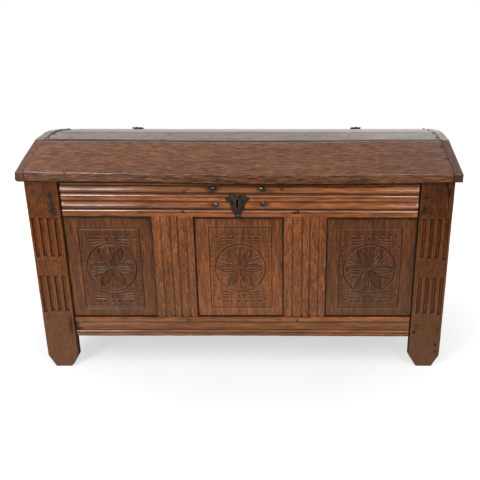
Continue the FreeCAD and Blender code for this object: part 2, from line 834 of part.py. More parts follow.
def lid_nail(x, along, facet, back, lift, length):
    """A nail square to one facet of the lid, measured from the lid's front or back edge."""
    slope, surface = {
        "lower": ("lower_slope", f"lid_nose_height + ({along}) * tan(lower_slope)"),
        "upper": ("upper_slope", f"lower_fold_z + ({along} - lower_fold_y) * tan(upper_slope)"),
        "crown": ("0", "upper_fold_z"),
    }[facet]
    out = f"{lift} * sin({slope})"
    y = (f"lid_front_y + lid_depth - ({along}) + {out}" if back
         else f"lid_front_y + {along} - {out}")
    nail = small_nail(x, y, f"lid_seat_z + {surface} + {lift} * cos({slope})", length,
                      Vector(-1 if back else 1, 0, 0), value(slope))
    if slope != "0":
        bind(nail, "Placement.Rotation.Angle", f"{slope} * 1deg")
    return nail


def make_lid_nails():
    """Nails of the boards on the gables and of the hinge straps, mirrored to the left."""
    nails = []
    rebate_x = "board_half - gable_rebate / 2"
    crown_along = "(upper_fold_y + crown_nail_inset)"
    for back in (False, True):
        for along, facet in (("lower_nail_first", "lower"), ("lower_nail_second", "lower"),
                             ("lower_run + upper_nail_inset", "upper"),
                             ("lower_run + upper_run - upper_nail_inset", "upper"),
                             (crown_along, "crown")):
            nails.append(lid_nail(rebate_x, along, facet, back, "0", "board_nail_length"))
    for along, facet in (("lower_nail_first", "lower"), ("lower_nail_second", "lower"),
                         ("lower_run + upper_run / 2", "upper"),
                         ("upper_fold_y + strap_crown_reach / 2", "crown")):
        nails.append(lid_nail("hinge_half_spacing", along, facet, True, "strap_thickness",
                              "strap_nail_length"))
    right = group("lid_nails_right", nails)
    return group("lid_nails", [right, mirrored("lid_nails_left", right)])


def make_back_strap_nails():
    """Nails of the back straps into the back top rail."""
    right = group("back_strap_nails_right", [
        small_nail("hinge_half_spacing", "back_y + strap_thickness",
                   f"carcase_height - back_nail_drop - {step} * back_nail_pitch",
                   "strap_nail_length", turn=-90)
        for step in range(3)
    ])
    return group("back_strap_nails", [right, mirrored("back_strap_nails_left", right)])


def make_lock_nails():
    """The four rose-headed nails that hold the lock plate through the top rail."""
    return group("lock_nails", [
        make_nail(f"lock_offset {side} lock_nail_offset", "front_y",
                  f"carcase_height - lock_nail_drop - {step} * lock_nail_pitch",
                  "rose_head_radius", "rose_head_rise", "rose_shank", "rose_length",
                  Vector(1, 0, 0), 90)
        for side in "+-" for step in range(2)
    ])


def make_shield_nails():
    """Two nails at the escutcheon's shoulders and one at its tip."""
    face = "front_y - shield_thickness"
    spots = [("lock_offset - shield_nail_offset", "shield_low + shield_nail_lift"),
             ("lock_offset + shield_nail_offset", "shield_low + shield_nail_lift"),
             ("lock_offset", "shield_low + shield_tip_nail_lift")]
    return group("escutcheon_nails", [small_nail(x, face, z, "shield_nail_length") for x, z in spots])


# ---------------------------------------------------------------- lid

def lid_body(label, low, length, corners):
    """A piece of the lid with a constant section, from a low x for a length."""
    body = new_body(label, "0", "lid_front_y", "lid_seat_z")
    sketch = new_sketch(body, "YZ_Plane", low)
    draw_loop(sketch, corners)
    pad(body, sketch, length)
    return body


def mirrored_line(points):
    """Points of the front half of the lid's section, repeated in reverse on its back half."""
    return [(f"lid_depth - ({y})", z) for y, z in points] + list(reversed(points))


LID_OUTER = [("0", "lid_nose_height"), ("lower_fold_y", "lower_fold_z"), ("upper_fold_y", "upper_fold_z")]
LID_UNDER = [("lid_seat_width", "seat_under_z"), ("lower_under_y", "lower_under_z"),
             ("upper_under_y", "upper_under_z")]


def build_lid(nails, staple):
    """Five long boards mitred into a faceted dome, nailed on a gable at each end."""
    nose, lower, upper = LID_OUTER
    seat, lower_under, upper_under = LID_UNDER
    run = ("-board_half", "2 * board_half")
    front = lid_body("lid_board_front_blank", *run,
                     [("0", "0"), ("lid_seat_width", "0"), seat, lower_under, lower, nose])
    upper_front = lid_body("lid_board_upper_front_blank", *run,
                           [lower_under, upper_under, upper, lower])
    crown = lid_body("lid_board_crown_blank", *run, mirrored_line([upper_under])[::-1]
                     + mirrored_line([upper]))
    middle_y = "lid_front_y + lid_depth / 2"
    back = mirrored("lid_board_back_blank", front, Vector(0, 1, 0), middle_y)
    upper_back = mirrored("lid_board_upper_back_blank", upper_front, Vector(0, 1, 0), middle_y)
    gable = lid_body("lid_gable_blank", "board_half", "gable_thickness",
                     [("0", "0"), ("lid_depth", "0"), *mirrored_line(LID_OUTER)])
    rebate = new_sketch(gable, "YZ_Plane", "board_half - gable_rebate")
    draw_loop(rebate, [("lid_seat_width", "0"), ("lid_depth - lid_seat_width", "0"),
                       *mirrored_line(LID_UNDER)])
    pad(gable, rebate, "gable_rebate")
    gable_right = fitted("lid_gable_right", gable, nails)
    return {
        "lid_board_front": fitted("lid_board_front", front, nails, staple),
        "lid_board_upper_front": fitted("lid_board_upper_front", upper_front, nails),
        "lid_board_crown": fitted("lid_board_crown", crown, nails),
        "lid_board_upper_back": fitted("lid_board_upper_back", upper_back, nails),
        "lid_board_back": fitted("lid_board_back", back, nails),
        "lid_gable_right": gable_right,
        "lid_gable_left": mirrored("lid_gable_left", gable_right),
    }


# ---------------------------------------------------------------- hinges

def add_knuckle(body, low, length, y, z):
    """Add one barrel of a hinge about the pin's line."""
    sketch = new_sketch(body, "YZ_Plane", low)
    draw_circle(sketch, "knuckle_radius", y, z)
    pad(body, sketch, length)


def bore_knuckles(body, y, z):
    """Bore the pin's hole through all barrels of a leaf."""
    sketch = new_sketch(body, "YZ_Plane", "-strap_width / 2")
    draw_circle(sketch, "pin_radius + pin_play", y, z)
    pocket(body, sketch, "strap_width", reverse=True)


def outset(y, z, lean, bend):
    """The corner a strap's thickness outside a corner of the lid's back half."""
    reach = f"strap_thickness / cos({bend})"
    return f"{y} + {reach} * sin({lean})", f"{z} + {reach} * cos({lean})"


def build_lid_strap():
    """The lid's leaf, bent up the back edge and over the back facets to the crown."""
    knuckle_y = "lid_depth + hinge_play + knuckle_radius"
    knuckle_z = "hinge_z - lid_seat_z"
    plate_low = f"{knuckle_z} + knuckle_clear"
    nose, lower, upper = [(f"lid_depth - ({y})", z) for y, z in LID_OUTER]
    tip_y = f"{upper[0]} - strap_crown_reach"
    strap = new_body("lid_strap", "hinge_half_spacing", "lid_front_y", "lid_seat_z")
    sketch = new_sketch(strap, "YZ_Plane", "-strap_width / 2")
    draw_loop(sketch, [
        ("lid_depth", plate_low),
        ("lid_depth + strap_thickness", plate_low),
        outset(*nose, "(90 + lower_slope) / 2", "(90 - lower_slope) / 2"),
        outset(*lower, "(lower_slope + upper_slope) / 2", "(lower_slope - upper_slope) / 2"),
        outset(*upper, "upper_slope / 2", "upper_slope / 2"),
        (tip_y, f"{upper[1]} + strap_thickness"),
        (tip_y, upper[1]),
        upper, lower, nose,
    ])
    pad(strap, sketch, "strap_width")
    round_tip(strap)
    block(strap, both_ways("lid_knuckle_width / 2"), ("lid_depth", "lid_depth + strap_thickness"),
          (knuckle_z, plate_low))
    add_knuckle(strap, "-lid_knuckle_width / 2", "lid_knuckle_width", knuckle_y, knuckle_z)
    bore_knuckles(strap, knuckle_y, knuckle_z)
    return strap


EDGE_REACH = 0.01


def round_tip(strap):
    """Round the two upright corners at the strap's tip on the crown."""
    doc.recompute()
    blank = strap.Tip
    front = min(vertex.Y for vertex in blank.Shape.Vertexes)
    corners = [f"Edge{number}" for number, edge in enumerate(blank.Shape.Edges, start=1)
               if all(abs(vertex.Y - front) < EDGE_REACH for vertex in edge.Vertexes)
               and abs(edge.Vertexes[0].X - edge.Vertexes[-1].X) < EDGE_REACH]
    rounding = strap.newObject("PartDesign::Fillet", "strap_tip")
    rounding.Base = (blank, corners)
    bind(rounding, "Radius", "strap_tip_radius")


def build_back_strap():
    """The carcase's leaf: a plate on the back top rail with two outer barrels."""
    knuckle_y = "hinge_play + knuckle_radius"
    knuckle_z = "hinge_z - carcase_height"
    plate_high = f"{knuckle_z} - knuckle_clear"
    strap = new_body("back_strap", "hinge_half_spacing", "back_y", "carcase_height")
    block(strap, both_ways("strap_width / 2"), ("0", "strap_thickness"),
          (f"{plate_high} - back_strap_length", plate_high))
    inner = "lid_knuckle_width / 2 + knuckle_gap"
    outer = "strap_width / 2"
    for low, high in ((inner, outer), (f"-({outer})", f"-({inner})")):
        block(strap, (low, high), ("0", "strap_thickness"), (plate_high, knuckle_z))
        add_knuckle(strap, low, f"{high} - ({low})", knuckle_y, knuckle_z)
    bore_knuckles(strap, knuckle_y, knuckle_z)
    return strap


def build_hinges(lid_nails, back_nails):
    """Both strap hinges with their pins."""
    lid_strap = fitted("lid_strap_right", build_lid_strap(), lid_nails)
    back_strap = fitted("back_strap_right", build_back_strap(), back_nails)
    pin = doc.addObject("Part::Cylinder", "hinge_pin_right")
    bind(pin, "Radius", "pin_radius")
    bind(pin, "Height", "strap_width + 2 * pin_overhang")
    place(pin, "hinge_half_spacing - strap_width / 2 - pin_overhang", "hinge_y", "hinge_z",
          Vector(0, 1, 0), 90)
    return {
        "lid_strap_right": lid_strap,
        "lid_strap_left": mirrored("lid_strap_left", lid_strap),
        "back_strap_right": back_strap,
        "back_strap_left": mirrored("back_strap_left", back_strap),
        "hinge_pin_right": pin,
        "hinge_pin_left": mirrored("hinge_pin_left", pin),
    }


# ---------------------------------------------------------------- lock

def cut_keyhole(body, plane_y, depth, z):
    """Cut the keyhole, its bow about a height z, from a plane y backwards."""
    slot_low = f"{z} - keyhole_slot_drop"
    half = "keyhole_slot_width / 2"
    bow = new_sketch(body, "XZ_Plane", f"-({plane_y})")
    draw_circle(bow, "keyhole_bow_radius", "lock_offset", z)
    pocket(body, bow, depth)
    slot = new_sketch(body, "XZ_Plane", f"-({plane_y})")
    draw_loop(slot, rectangle((f"lock_offset - {half}", f"lock_offset + {half}"), (slot_low, z)))
    pocket(body, slot, depth)


def cut_lock_seat(rail):
    """Let the lock's case into the top rail from behind and cut the keyhole through it."""
    mortise(rail, ("lock_left", "lock_right"),
            ("frame_thickness - lock_case_depth", "frame_thickness"),
            ("lock_case_low - top_rail_low", "top_rail_height"))
    cut_keyhole(rail, "0", "frame_thickness", "keyhole_z - top_rail_low")


def build_lock_case(nails):
    """The lock's back plate with the rim of its case and the two guides of the bolt."""
    case = new_body("lock_case_blank")
    deep = ("lock_case_y", "inner_front_y")
    half = "lock_plate_width / 2"
    block(case, (f"lock_offset - {half}", f"lock_offset + {half}"),
          ("inner_front_y", "inner_front_y + lock_plate_thickness"),
          ("carcase_height - lock_plate_height", "carcase_height"))
    walls = (
        (("lock_left", "lock_left + lock_wall"), ("lock_case_low", "carcase_height")),
        (("lock_right - lock_wall", "lock_right"), ("lock_case_low", "carcase_height")),
        (("lock_left", "lock_right"), ("lock_case_low", "lock_case_low + lock_wall")),
        (("lock_left", "lock_right"), ("carcase_height - lock_wall", "carcase_height")),
    )
    for across, up in walls:
        block(case, across, deep, up)
    bolt_high = "bolt_low + bolt_height"
    first_guide = "bolt_left + bolt_talon_width + bolt_throw + 1"
    last_guide = "bolt_right - guide_width - 1"
    for low in (first_guide, last_guide):
        block(case, (low, f"{low} + guide_width"), deep,
              ("bolt_low - guide_play - guide_lip", f"{bolt_high} + guide_play + guide_lip"))
    mortise(case, (first_guide, f"{last_guide} + guide_width"),
            ("bolt_y - guide_play", "bolt_y + bolt_thickness + guide_play"),
            ("bolt_low - guide_play", f"{bolt_high} + guide_play"))
    reach = "staple_gap / 2 + staple_bar + staple_slot_play"
    mortise(case, ("staple_x - staple_width / 2 - staple_slot_play",
                   "staple_x + staple_width / 2 + staple_slot_play"),
            (f"bolt_middle_y - ({reach})", f"bolt_middle_y + {reach}"),
            ("carcase_height - lock_wall", "carcase_height"))
    return fitted("lock_case", case, nails)


def build_bolt():
    """The sliding bolt, withdrawn, with the talon that the key pushes."""
    bolt = new_body("lock_bolt")
    deep = ("bolt_y", "bolt_y + bolt_thickness")
    block(bolt, ("bolt_left", "bolt_right"), deep, ("bolt_low", "bolt_low + bolt_height"))
    block(bolt, ("bolt_left", "bolt_left + bolt_talon_width"), deep,
          ("bolt_low - bolt_talon_height", "bolt_low"))
    return bolt


def build_staple():
    """The staple under the lid's front board: two legs and the bar that the bolt passes over."""
    across = ("staple_x - staple_width / 2", "staple_x + staple_width / 2")
    inner = "staple_gap / 2"
    outer = "staple_gap / 2 + staple_bar"
    parts = [
        box("staple_leg", across, (f"bolt_middle_y + {inner}", f"bolt_middle_y + {outer}"),
            ("staple_low", "lid_seat_z + staple_hold")),
        box("staple_leg", across, (f"bolt_middle_y - ({outer})", f"bolt_middle_y - {inner}"),
            ("staple_low", "lid_seat_z + staple_hold")),
        box("staple_bar", across, (f"bolt_middle_y - ({outer})", f"bolt_middle_y + {outer}"),
            ("staple_low", "staple_low + staple_bar")),
    ]
    staple = doc.addObject("Part::MultiFuse", "lid_staple")
    staple.Shapes = parts
    staple.Refine = True
    return staple


def build_escutcheon(nails):
    """The shield-shaped plate with two scrolled ears and the keyhole."""
    half = [
        ("shield_tip_width / 2", "shield_tip_rise", "shield_side_rise"),
        ("shield_width / 2", "shield_shoulder", None),
        ("shield_neck_width / 2", "shield_neck", "-ear_hollow_rise"),
        ("ear_span / 2", "ear_low", "ear_end_rise"),
        ("ear_tip_span / 2", "shield_height", None),
        ("shield_notch_half_width", "shield_height", None),
    ]
    right = [(f"lock_offset + {across}", up, rise) for across, up, rise in half]
    notch = [("lock_offset", "shield_height - shield_notch_depth", None)]
    left = [(f"lock_offset - {across}", up, before[2])
            for (across, up, rise), before in zip(half[::-1], half[-2::-1] + [(0, 0, "shield_tip_rise")])]
    plate = new_body("escutcheon_blank", "0", "front_y", "shield_low")
    sketch = new_sketch(plate, "XZ_Plane")
    draw_loop(sketch, right + notch + left)
    pad(plate, sketch, "shield_thickness")
    cut_keyhole(plate, "-shield_thickness", "shield_thickness", "keyhole_z - shield_low")
    return fitted("escutcheon", plate, nails)


def build_lock(lock_nails, shield_nails, staple):
    """Everything of the lock: case, bolt, spring, key pin, staple and escutcheon."""
    bolt_high = "bolt_low + bolt_height + guide_play"
    spring = box("lock_spring",
                 ("lock_left + lock_wall", "bolt_left + bolt_talon_width + bolt_throw"),
                 ("bolt_y", "bolt_y + bolt_thickness"), (bolt_high, f"{bolt_high} + spring_thickness"))
    pin = doc.addObject("Part::Cylinder", "key_pin")
    bind(pin, "Radius", "key_pin_radius")
    bind(pin, "Height", "key_pin_length")
    place(pin, "lock_offset", "inner_front_y", "keyhole_z", Vector(1, 0, 0), 90)
    return {
        "lock_case": build_lock_case(lock_nails),
        "lock_bolt": build_bolt(),
        "lock_spring": spring,
        "key_pin": pin,
        "lid_staple": staple,
        "escutcheon": build_escutcheon(shield_nails),
    }


# ---------------------------------------------------------------- the whole chest

def check_and_export(pieces):
    """Stop on any failed object or bad shape, then write one STEP file for each node."""
    failed = [thing.Label for thing in doc.Objects if {"Invalid", "Error"} & set(thing.State)]
    if failed:
        raise RuntimeError("objects that failed: " + ", ".join(failed))
    for name, piece in pieces.items():
        if piece.Shape.isNull() or not piece.Shape.isValid() or not piece.Shape.Solids:
            raise RuntimeError("bad shape: " + name)
    os.makedirs("parts", exist_ok=True)
    for name, piece in pieces.items():
        piece.Label = name
        piece.Shape.exportStep(f"parts/{name}.step")


def build_chest():
    """Make every sub-part, keyed by the name of its node."""
    pegs_right, pegs = make_pegs()
    lid_nails = make_lid_nails()
    back_nails = make_back_strap_nails()
    lock_nails = make_lock_nails()
    shield_nails = make_shield_nails()
    staple = build_staple()
    return {
        **build_front(pegs_right, pegs, (lock_nails, shield_nails)),
        **build_back(pegs_right, pegs, back_nails),
        **build_ends(pegs_right),
        **build_floor(),
        **build_lid(lid_nails, staple),
        **build_hinges(lid_nails, back_nails),
        **build_lock(lock_nails, shield_nails, staple),
        "frame_pegs": pegs,
        "lid_nails": lid_nails,
        "back_strap_nails": back_nails,
        "lock_nails": lock_nails,
        "escutcheon_nails": shield_nails,
    }


doc = FreeCAD.newDocument("CofferChest")
make_sheet()
layout = make_layout()
nodes = build_chest()
doc.recompute()
check_and_export(nodes)
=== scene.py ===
"""Looks of a joined-oak coffer chest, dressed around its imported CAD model.

Every size below is in millimetres until a mesh is made.  The row frame has +Z up, the front
faces -Y, and the origin is on the floor under the middle of the chest.
"""

import logging
import math
from collections.abc import Callable, Iterable, Sequence
from dataclasses import dataclass, field
from enum import Enum

import bmesh
import bpy
import numpy as np
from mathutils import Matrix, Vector


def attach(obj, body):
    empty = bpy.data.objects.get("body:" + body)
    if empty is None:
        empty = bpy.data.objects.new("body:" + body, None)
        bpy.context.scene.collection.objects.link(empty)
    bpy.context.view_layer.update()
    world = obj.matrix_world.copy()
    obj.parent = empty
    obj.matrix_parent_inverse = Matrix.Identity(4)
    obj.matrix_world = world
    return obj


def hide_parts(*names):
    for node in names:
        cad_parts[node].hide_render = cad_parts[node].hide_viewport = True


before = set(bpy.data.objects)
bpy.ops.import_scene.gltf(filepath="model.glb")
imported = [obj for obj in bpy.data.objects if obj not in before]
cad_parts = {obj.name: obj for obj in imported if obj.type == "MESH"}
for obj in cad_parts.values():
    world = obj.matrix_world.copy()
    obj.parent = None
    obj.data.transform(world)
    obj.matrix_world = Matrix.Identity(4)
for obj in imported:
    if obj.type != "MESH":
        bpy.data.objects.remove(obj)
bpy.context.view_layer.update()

log = logging.getLogger("coffer")

MM = 0.001
NOSING_TURN = 0.58
OPENING_HALF = 600.0
RIM_LEVEL = 630.0
SHARP_ANGLE = math.radians(42)
RECESS_SHADE_AND_DIRT = 0.96
OUTER_WALL_DARKENING = 0.25
BOX_FACES = ((0, 1, 3, 2), (4, 6, 7, 5), (0, 4, 5, 1), (2, 3, 7, 6), (0, 2, 6, 4), (1, 5, 7, 3))
Array = np.ndarray
Socket = bpy.types.NodeSocket
Colour = tuple[float, float, float]
Point = tuple[float, float]
Span = tuple[float, float]
Place = tuple[float, float, float]
Mark = tuple[float, float, float, float, float]
Cut = tuple[float, ...]
Outline = Callable[[Array, Array], tuple[Array, Array]]


# Small tools


def tone(red: float, green: float, blue: float) -> Colour:
    """Turn a colour given as 0-255 screen values into the linear one that shaders use.

    Args:
        red: Screen red.
        green: Screen green.
        blue: Screen blue.

    Returns:
        The linear colour.
    """
    def linear(value: float) -> float:
        """One channel."""
        share = value / 255
        return share / 12.92 if share <= 0.04045 else ((share + 0.055) / 1.055) ** 2.4
    return linear(red), linear(green), linear(blue)


@dataclass
class Wander:
    """Smooth random waves over a plane, the same every time for one seed."""

    seed: int
    across: float
    up: float
    cells: int = 61

    def __post_init__(self) -> None:
        """Draw the lattice of heights that the waves pass through."""
        self.lattice = np.random.default_rng(self.seed).uniform(-1, 1, (self.cells, self.cells))

    def __call__(self, u: Array, v: Array) -> Array:
        """Read the waves at some points.

        Args:
            u: Places across, in millimetres.
            v: Places up, in millimetres.

        Returns:
            Heights from -1 to 1.
        """
        x = np.asarray(u, float) / self.across
        y = np.asarray(v, float) / self.up
        column = np.floor(x).astype(int)
        row = np.floor(y).astype(int)
        fx = x - column
        fy = y - row
        fx = fx * fx * (3 - 2 * fx)
        fy = fy * fy * (3 - 2 * fy)
        n = self.cells
        low = self.lattice[row % n, column % n] * (1 - fx) + self.lattice[row % n, (column + 1) % n] * fx
        high = (self.lattice[(row + 1) % n, column % n] * (1 - fx)
                + self.lattice[(row + 1) % n, (column + 1) % n] * fx)
        return low * (1 - fy) + high * fy


def grid_lines(low: float, high: float, step: float, rim: Sequence[float] = (0.35, 0.9, 1.7, 2.8),
               fine: Iterable[Place] = ()) -> Array:
    """Places of the grid's lines over a length, closer at both ends and where carving is.

    Args:
        low: Start of the length.
        high: End of the length.
        step: Usual spacing.
        rim: Distances from each end that get a line.
        fine: Stretches as start, end and spacing.

    Returns:
        The places in rising order.
    """
    places = list(np.linspace(low, high, max(2, int(round((high - low) / step)) + 1)))
    for start, end, spacing in fine:
        places = [p for p in places if p < start or p > end]
        places += list(np.linspace(start, end, max(2, int(round((end - start) / spacing)) + 1)))
    places = [p for p in places if p <= low or p >= high or low + rim[-1] < p < high - rim[-1]]
    places += [low + r for r in rim] + [high - r for r in rim]
    rising = np.unique(np.round(places, 3))
    keep = np.concatenate([[True], np.diff(rising) > 0.05])
    return rising[keep]


def unit(values: Array) -> Array:
    """Hold values between 0 and 1."""
    return np.clip(values, 0, 1)


def fall(distance: Array, reach: float | Array) -> Array:
    """Fade away from 1 at a line."""
    return np.exp(-np.clip(distance, 0, None) / reach)


def softened(values: Array, reach: float) -> Array:
    """Blur a field of values on a 1 mm grid.

    Args:
        values: The field.
        reach: Spread of the blur in millimetres.

    Returns:
        The blurred field.
    """
    half = int(3 * reach)
    kernel = np.exp(-0.5 * (np.arange(-half, half + 1) / reach) ** 2)
    kernel /= kernel.sum()
    for axis in (0, 1):
        padded = np.pad(values, [(half, half) if a == axis else (0, 0) for a in (0, 1)], mode="edge")
        values = np.apply_along_axis(lambda line: np.convolve(line, kernel, mode="valid"), axis, padded)
    return values


def hollowness(u: Array, v: Array, depth: Array, reach: float = 3.5) -> Array:
    """How far each point lies below its surroundings.

    Args:
        u: Places of the columns.
        v: Places of the rows.
        depth: Depth of each point, rows by columns.
        reach: Size of the surroundings.

    Returns:
        Millimetres below the blurred surface, negative where the point stands proud.
    """
    even_u = np.arange(u[0], u[-1] + 1.0, 1.0)
    even_v = np.arange(v[0], v[-1] + 1.0, 1.0)
    rows = np.array([np.interp(even_u, u, line) for line in depth])
    even = np.array([np.interp(even_v, v, rows[:, i]) for i in range(len(even_u))]).T
    smooth = softened(even, reach)
    back = np.array([np.interp(u, even_u, line) for line in smooth])
    return depth - np.array([np.interp(v, even_v, back[:, i]) for i in range(len(u))]).T


def marks(across: Array, up: Array, spots: Iterable[Mark]) -> Array:
    """Soft stains at given places.

    Args:
        across: First coordinate of each point.
        up: Second coordinate of each point.
        spots: Each stain's place, its two half sizes and its strength.

    Returns:
        Strength of the stain at each point, from 0 to 1.
    """
    total = np.zeros(np.broadcast(across, up).shape)
    for x, y, wide, high, strength in spots:
        total += strength * np.exp(-(((across - x) / wide) ** 2 + ((up - y) / high) ** 2) ** 1.5)
    return unit(total)


def linked(name: str, data: bpy.types.ID) -> bpy.types.Object:
    """Link a new object to the scene.

    Args:
        name: Its name.
        data: Its mesh, curve, lamp or camera.

    Returns:
        The object.
    """
    made = bpy.data.objects.new(name, data)
    bpy.context.scene.collection.objects.link(made)
    return made


def face_out(made: bpy.types.Object) -> None:
    """Turn every face of a closed mesh outwards.

    Args:
        made: The mesh's object.
    """
    work = bmesh.new()
    work.from_mesh(made.data)
    bmesh.ops.recalc_face_normals(work, faces=work.faces)
    work.to_mesh(made.data)
    work.free()


def make_object(name: str, points: Array, faces: list, fields: dict[str, Array],
                sharp: float = SHARP_ANGLE, closed: bool = True) -> bpy.types.Object:
    """Make a mesh object from points in millimetres.

    Args:
        name: The piece's name.
        points: One row of three coordinates for each point.
        faces: The points of each face.
        fields: Named values, one for each point.
        sharp: Angle above which an edge is sharp.
        closed: Whether the faces close a body, which are then turned outwards.

    Returns:
        The object, linked to the scene.
    """
    mesh = bpy.data.meshes.new(name)
    mesh.from_pydata((points * MM).tolist(), [], faces)
    mesh.update()
    for key, values in fields.items():
        attribute = mesh.attributes.new(key, "FLOAT", "POINT")
        attribute.data.foreach_set("value", np.asarray(values, np.float32).ravel())
    mesh.shade_smooth()
    mesh.set_sharp_from_angle(angle=sharp)
    made = linked(name, mesh)
    if closed:
        face_out(made)
    return made


def slab(name: str, front: Array, back: float, fields: dict[str, Array]) -> bpy.types.Object:
    """A board with a worked front surface, straight sides and a flat back.

    Args:
        name: The piece's name.
        front: The front surface, rows by columns by three coordinates.
        back: Where the flat back lies along Y.
        fields: Named values over the front surface.

    Returns:
        The closed object.
    """
    rows, columns = front.shape[:2]
    index = np.arange(rows * columns).reshape(rows, columns)
    quads = np.stack([index[:-1, :-1], index[:-1, 1:], index[1:, 1:], index[1:, :-1]], -1).reshape(-1, 4)
    rim = np.concatenate([index[0, :], index[1:, -1], index[-1, -2::-1], index[-2:0:-1, 0]])
    flat = front.reshape(-1, 3)
    ring = flat[rim].copy()
    ring[:, 1] = back
    behind = rows * columns + np.arange(len(rim))
    walls = np.stack([rim, behind, np.roll(behind, -1), np.roll(rim, -1)], -1)
    faces = quads.tolist() + walls.tolist() + [behind.tolist()]
    spread = {}
    for key, values in fields.items():
        spread[key] = np.concatenate([values.ravel(), values.ravel()[rim] * 0.6])
    # Side walls inside the frame's opening are coloured dark: painted shade in the recess together with dirt.
    # The outer walls are only darkened a little.
    in_opening = (np.abs(ring[:, 0]) < OPENING_HALF) & (ring[:, 2] < RIM_LEVEL)
    spread["dirt_and_shade"][rows * columns:] = np.where(in_opening, RECESS_SHADE_AND_DIRT, OUTER_WALL_DARKENING)
    return make_object(name, np.concatenate([flat, ring]), faces, spread)


def sweep(name: str, parts: Iterable[tuple[Array, dict[str, Array]]]) -> bpy.types.Object:
    """Close rings of points into bodies with flat ends, all in one piece.

    Args:
        name: The piece's name.
        parts: Each body's points, rings by points by three coordinates, and the named values over them.

    Returns:
        The closed object.
    """
    base, points, faces = 0, [], []
    fields: dict[str, list[Array]] = {}
    for part, values in parts:
        rings, around = part.shape[:2]
        index = base + np.arange(rings * around).reshape(rings, around)
        nxt = np.roll(index, -1, axis=1)
        faces += np.stack([index[:-1], nxt[:-1], nxt[1:], index[1:]], -1).reshape(-1, 4).tolist()
        faces += [index[0][::-1].tolist(), index[-1].tolist()]
        points.append(part.reshape(-1, 3))
        for key, value in values.items():
            fields.setdefault(key, []).append(value.ravel())
        base += rings * around
    joined = {key: np.concatenate(value) for key, value in fields.items()}
    return make_object(name, np.concatenate(points), faces, joined)


def edge_fall(distance: Array, radius: Array | float) -> Array:
    """How far a rounded arris falls away from its face.

    Args:
        distance: Distance from the edge.
        radius: Radius of the arris.

    Returns:
        Depth below the face.
    """
    inside = np.clip(radius - distance, 0, None)
    return radius - np.sqrt(np.clip(radius ** 2 - inside ** 2, 0, None))


# Mouldings


class Member(Enum):
    """The plane that worked one member of a moulding."""

    FLAT = "flat"
    ROUND = "round"
    HOLLOW = "hollow"
    NOSING = "nosing"


@dataclass(frozen=True)
class Band:
    """One member of a moulding, from start to end across it."""

    member: Member
    start: float
    end: float
    depth: float
    rise: float = 0.0

    def cut(self, place: Array) -> Array:
        """Depth of the member's surface.

        Args:
            place: Places across the moulding, inside this member.

        Returns:
            Depth below the wood's face.
        """
        share = 2 * (place - self.start) / (self.end - self.start) - 1
        if self.member in (Member.ROUND, Member.HOLLOW):
            out = -1 if self.member is Member.ROUND else 1
            return self.depth + out * self.rise * np.sqrt(unit(1 - share ** 2))
        if self.member is Member.NOSING:
            run = (share + 1) / 2 / NOSING_TURN
            climb = 0.75 * run + 0.25 * np.sqrt(unit(1 - (1 - run) ** 2))
            curl = np.sqrt(unit(1 - ((share + 1) / 2 - NOSING_TURN) ** 2 / (1 - NOSING_TURN) ** 2))
            return self.depth - self.rise * np.where(run < 1, climb, curl)
        return np.full_like(place, self.depth)


FLAT, ROUND, HOLLOW, NOSING = Member
TOP_RAIL = (
    Band(FLAT, 0, 3.6, 1.6),
    Band(FLAT, 3.8, 9.6, 0.3),
    Band(HOLLOW, 9.8, 13.2, 2.4, 2.8),
    Band(NOSING, 13.5, 34, 5.2, 5.2),
    Band(HOLLOW, 34.2, 40.2, 4.0, 1.8),
    Band(ROUND, 40.5, 48.8, 3.8, 3.8),
    Band(FLAT, 49.1, 58.2, 1.4),
    Band(HOLLOW, 58.6, 63.2, 2.2, 2.6),
    Band(NOSING, 63.5, 84.2, 5.2, 5.2),
    Band(HOLLOW, 84.4, 88.8, 4.0, 1.8),
    Band(ROUND, 89.1, 97, 3.8, 3.8),
    Band(FLAT, 97.3, 110, 0.6),
)
BOTTOM_RAIL = (
    Band(FLAT, 0, 1.6, 1.2),
    Band(FLAT, 1.8, 17.0, 0.3),
    Band(HOLLOW, 17.2, 22.6, 1.7, 2.0),
    Band(NOSING, 22.9, 46.0, 1.3, 1.0),
    Band(HOLLOW, 46.2, 49.8, 1.4, 1.4),
    Band(ROUND, 50.0, 56.0, 2.2, 2.1),
    Band(HOLLOW, 56.2, 60.4, 1.2, 1.1),
    Band(FLAT, 60.6, 69.4, 0.4),
)
MUNTIN = (
    Band(FLAT, 0, 25.4, 0.3),
    Band(HOLLOW, 25.6, 29.2, 1.0, 1.9),
    Band(ROUND, 29.4, 56.6, 1.9, 1.7),
    Band(HOLLOW, 56.8, 60.8, 1.4, 2.2),
    Band(ROUND, 61, 80.6, 2.2, 2.0),
    Band(HOLLOW, 80.8, 84.8, 1.4, 2.2),
    Band(ROUND, 85, 109.6, 1.9, 1.7),
    Band(HOLLOW, 109.8, 112.8, 0.8, 1.3),
    Band(FLAT, 113, 134, 0.3),
)


def moulding_lines(bands: Sequence[Band]) -> tuple[Array, Array]:
    """Places and depths across a moulding, enough for each member's shape.

    Args:
        bands: The moulding's members in order.

    Returns:
        Places from the first edge, and the depth at each.
    """
    places: list[float] = []
    depths: list[float] = []
    for band in bands:
        count = 3 if band.member is Member.FLAT else max(9, int(band.end - band.start) + 3)
        turn = np.linspace(0, np.pi, count)
        local = (band.start + band.end) / 2 - (band.end - band.start) / 2 * np.cos(turn)
        places += local.tolist()
        depths += band.cut(local).tolist()
    return np.array(places), np.array(depths)


# Carving


